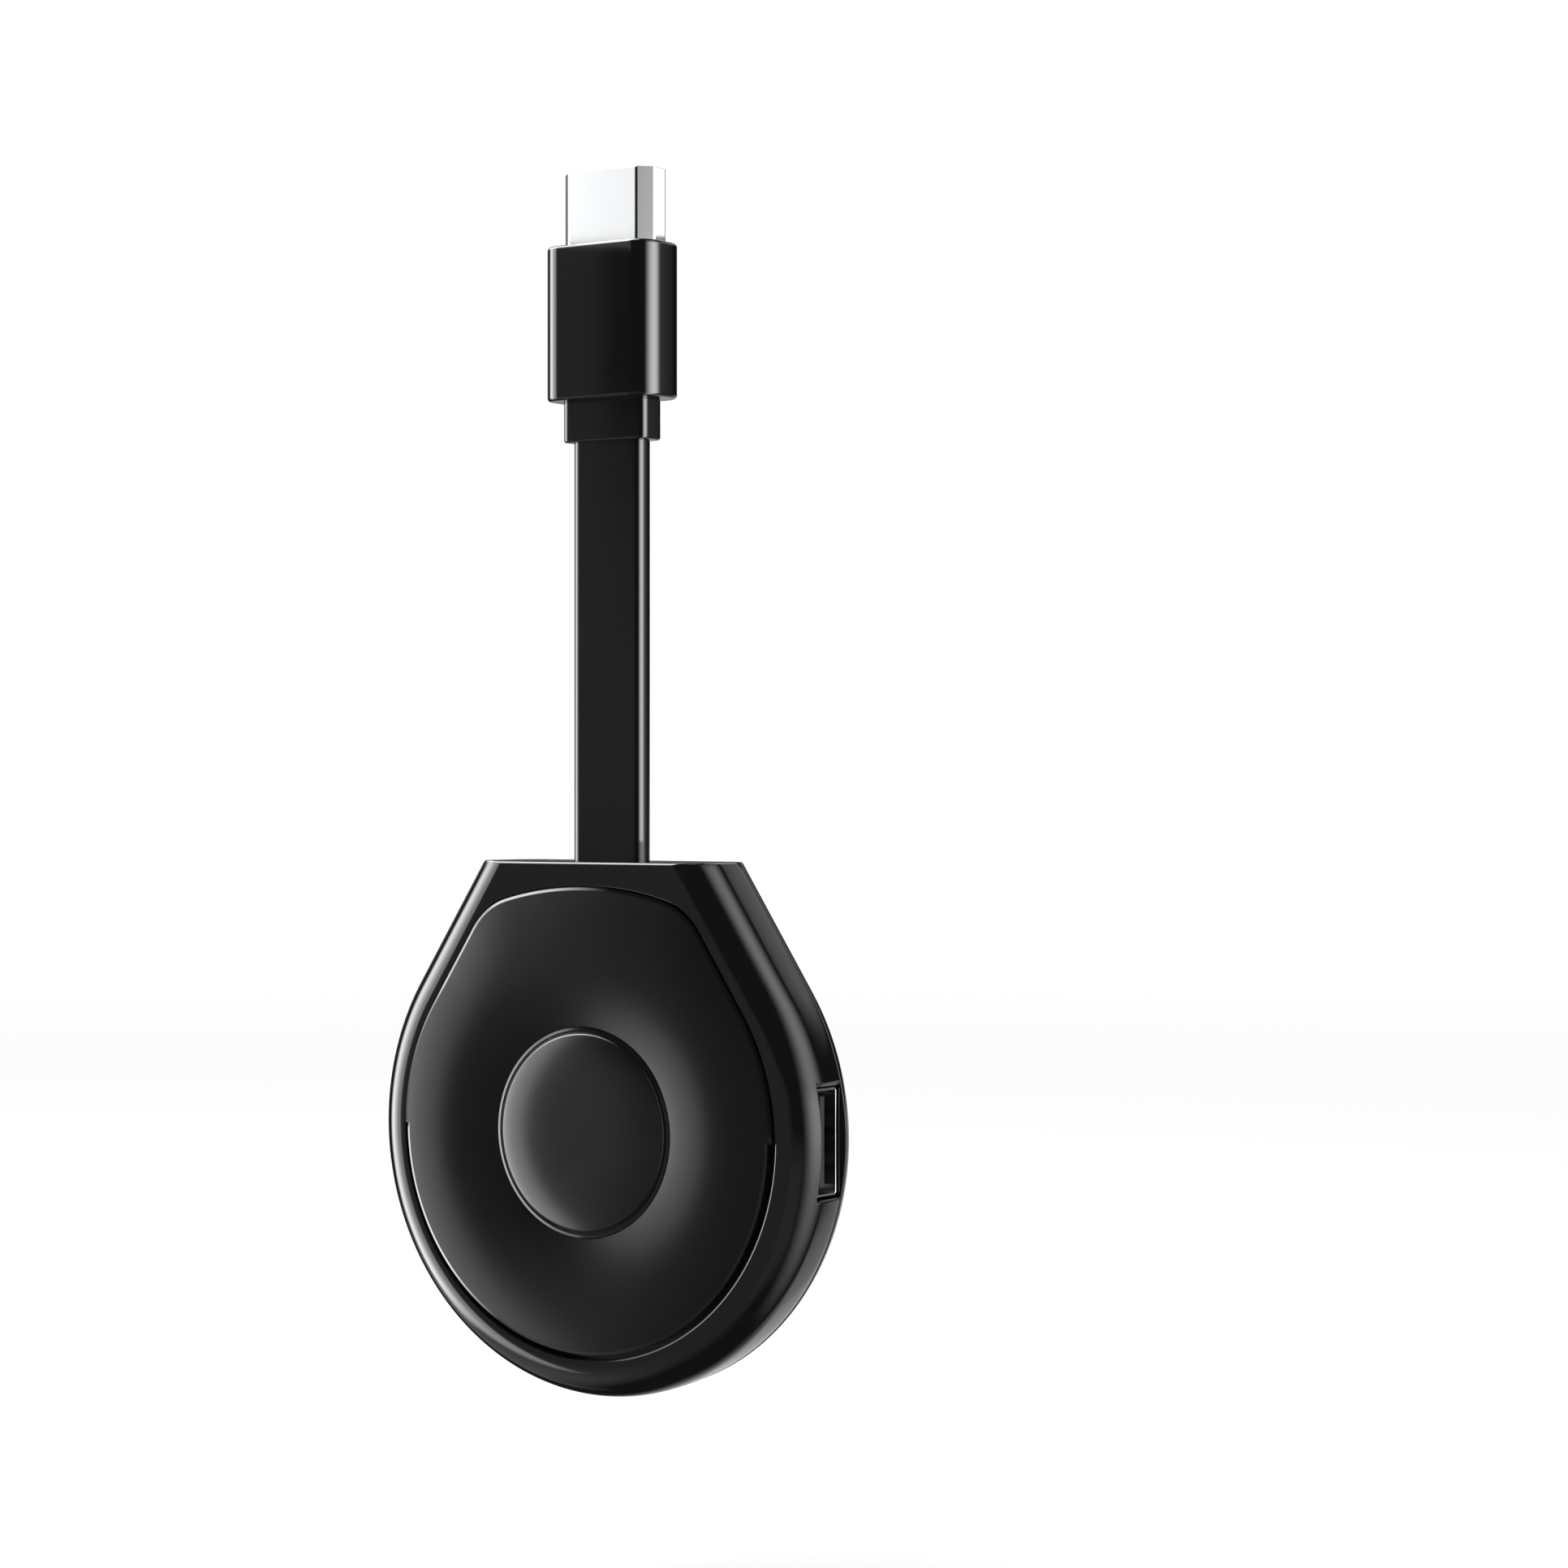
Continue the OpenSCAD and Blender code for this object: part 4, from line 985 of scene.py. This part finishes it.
def make_world():
    """A studio of large soft panels for reflections, plain light for the rest, and a white backdrop."""
    world = bpy.data.worlds.new("studio")
    bpy.context.scene.world = world
    world.use_nodes = True
    world.cycles.sampling_method = "NONE"
    tree = world.node_tree
    tree.nodes.clear()
    place = add_node(tree, "ShaderNodeTexCoord")
    split = add_node(tree, "ShaderNodeSeparateXYZ")
    tree.links.new(place.outputs["Generated"], split.inputs[0])
    back = calculate(tree, "MULTIPLY", split.outputs["Y"], -1.0)
    azimuth = calculate(tree, "ARCTAN2", split.outputs["X"], back)
    azimuth = calculate(tree, "DEGREES", azimuth)
    height = calculate(tree, "DEGREES", calculate(tree, "ARCSINE", split.outputs["Z"]))
    studio = STUDIO_DARK
    for name, turn, rise, brightness in SOFT_PANELS:
        across = soft_window(tree, azimuth, turn, "SMOOTHSTEP")
        along = soft_window(tree, height, rise, "LINEAR")
        studio = calculate(tree, "MULTIPLY_ADD", calculate(tree, "MULTIPLY", across, along),
                           brightness, studio)
    path = add_node(tree, "ShaderNodeLightPath")
    light = blend_value(tree, BACKDROP, studio, path.outputs["Is Glossy Ray"])
    background = add_node(tree, "ShaderNodeBackground")
    background.inputs["Color"].default_value = (1.0, 1.0, 1.0, 1.0)
    tree.links.new(light, background.inputs["Strength"])
    output = add_node(tree, "ShaderNodeOutputWorld")
    tree.links.new(background.outputs[0], output.inputs["Surface"])


def floor_material(radius):
    """Matt paper that fades out towards the floor's edge."""
    material = bpy.data.materials.new("floor_paper")
    material.use_nodes = True
    tree = material.node_tree
    shader = tree.nodes["Principled BSDF"]
    shader.inputs["Base Color"].default_value = (FLOOR_GREY, FLOOR_GREY, FLOOR_GREY, 1.0)
    shader.inputs["Roughness"].default_value = FLOOR_ROUGHNESS
    shader.inputs["Specular IOR Level"].default_value = 0.0
    place = add_node(tree, "ShaderNodeTexCoord")
    reach = add_node(tree, "ShaderNodeVectorMath", operation="LENGTH")
    tree.links.new(place.outputs["Object"], reach.inputs[0])
    fade = rise_between(tree, reach.outputs["Value"], radius * FLOOR_FADE[0], radius * FLOOR_FADE[1])
    tree.links.new(calculate(tree, "SUBTRACT", 1.0, fade), shader.inputs["Alpha"])
    return material


def make_floor(settings):
    """A pale round floor whose edge fades out."""
    mesh = bmesh.new()
    rows = []
    for share in FLOOR_RINGS:
        loop = arc((0, 0), share * settings.floor_radius, 0, 360, FLOOR_COUNT)
        rows.append([mesh.verts.new((x, y, -settings.floor_depth)) for x, y in loop])
    mesh.faces.new(rows[0])
    for low, high in zip(rows, rows[1:]):
        for index in range(FLOOR_COUNT):
            after = (index + 1) % FLOOR_COUNT
            mesh.faces.new((low[index], high[index], high[after], low[after]))
    floor = new_object("studio_floor", mesh)
    floor.data.materials.append(floor_material(settings.floor_radius))
    floor.visible_glossy = False


def card_material(name, width, brightness, fade):
    """Light that fades sideways, on a card that is clear otherwise. Width is half of the card's."""
    material = bpy.data.materials.new(name)
    material.use_nodes = True
    tree = material.node_tree
    tree.nodes.clear()
    spot = add_node(tree, "ShaderNodeTexCoord")
    split = add_node(tree, "ShaderNodeSeparateXYZ")
    tree.links.new(spot.outputs["Object"], split.inputs[0])
    off = calculate(tree, "ABSOLUTE", split.outputs["X"])
    dim = rise_between(tree, off, width * (1 - fade), width)
    lit = calculate(tree, "MULTIPLY", calculate(tree, "SUBTRACT", 1.0, dim), brightness)
    glow = add_node(tree, "ShaderNodeEmission")
    tree.links.new(lit, glow.inputs["Strength"])
    clear = add_node(tree, "ShaderNodeBsdfTransparent")
    both = add_node(tree, "ShaderNodeAddShader")
    tree.links.new(glow.outputs[0], both.inputs[0])
    tree.links.new(clear.outputs[0], both.inputs[1])
    output = add_node(tree, "ShaderNodeOutputMaterial")
    tree.links.new(both.outputs[0], output.inputs["Surface"])
    material.cycles.emission_sampling = "NONE"
    return material


def make_card(name, place, size, brightness, fade):
    """An upright card that only adds light to reflections."""
    width, height = size[0] / 2, size[1] / 2
    mesh = bmesh.new()
    corners = [mesh.verts.new((x, y, 0)) for x, y in
               ((-width, -height), (width, -height), (width, height), (-width, height))]
    mesh.faces.new(corners)
    card = new_object(name, mesh)
    card.location = place
    target = Vector((0.0, 0.0, place[2]))
    card.rotation_euler = (target - Vector(place)).to_track_quat("Z", "Y").to_euler()
    card.data.materials.append(card_material(name, width, brightness, fade))
    for flag in ("visible_camera", "visible_diffuse", "visible_transmission", "visible_shadow"):
        setattr(card, flag, False)


class STICK_OT_stage(Operator):
    """Set up the camera, the floor and the studio light"""

    bl_idname = "stick.stage"
    bl_label = "Stage"

    def execute(self, context):
        settings = context.scene.stick_stage
        data = bpy.data.cameras.new("camera")
        data.sensor_width = SENSOR
        data.lens = settings.camera_lens
        camera = bpy.data.objects.new("camera", data)
        camera.location = CAMERA_PLACE
        camera.rotation_euler = (math.radians(90), 0.0, math.radians(CAMERA_TURN))
        context.scene.collection.objects.link(camera)
        context.scene.camera = camera
        make_world()
        make_floor(settings)
        for card in CARDS:
            make_card(*card)
        lamp = bpy.data.lights.new("soft_light", "AREA")
        lamp.energy = settings.light_power
        lamp.size = LAMP_SIZE
        light = bpy.data.objects.new("soft_light", lamp)
        light.location = LAMP_PLACE
        aim = Vector(LAMP_TARGET) - light.location
        light.rotation_euler = aim.to_track_quat("-Z", "Y").to_euler()
        light.visible_glossy = False
        context.scene.collection.objects.link(light)
        context.scene.view_settings.view_transform = "Standard"
        return {"FINISHED"}


STEPS = (STICK_OT_finishes, STICK_OT_inner_edges, STICK_OT_plug, STICK_OT_cable, STICK_OT_front_shell,
         STICK_OT_rear_shell, STICK_OT_face, STICK_OT_port, STICK_OT_stage)


class STICK_PT_panel(Panel):
    """Steps and settings of the media stick"""

    bl_label = "Media Stick"
    bl_idname = "STICK_PT_panel"
    bl_space_type = "VIEW_3D"
    bl_region_type = "UI"
    bl_category = "Stick"

    def draw(self, context):
        for step in STEPS:
            self.layout.operator(step.bl_idname)
        for group, labels in ((context.scene.stick_edges, ("cut_round", "metal_round")),
                              (context.scene.stick_stage, ("floor_depth", "floor_radius", "light_power",
                                                           "camera_lens"))):
            for label in labels:
                self.layout.prop(group, label)


CLASSES = (StickEdges, StickStage, *STEPS, STICK_PT_panel)


def register():
    """Register the add-on's classes and settings."""
    for kind in CLASSES:
        bpy.utils.register_class(kind)
    bpy.types.Scene.stick_edges = PointerProperty(type=StickEdges)
    bpy.types.Scene.stick_stage = PointerProperty(type=StickStage)


def unregister():
    """Remove what register added."""
    del bpy.types.Scene.stick_stage
    del bpy.types.Scene.stick_edges
    for kind in reversed(CLASSES):
        bpy.utils.unregister_class(kind)


def main():
    """Build everything in order."""
    register()
    bpy.ops.stick.finishes()
    bpy.ops.stick.inner_edges()
    bpy.ops.stick.plug()
    bpy.ops.stick.cable()
    bpy.ops.stick.front_shell()
    bpy.ops.stick.rear_shell()
    bpy.ops.stick.face()
    bpy.ops.stick.port()
    bpy.ops.stick.stage()


if __name__ == "__main__":
    main()
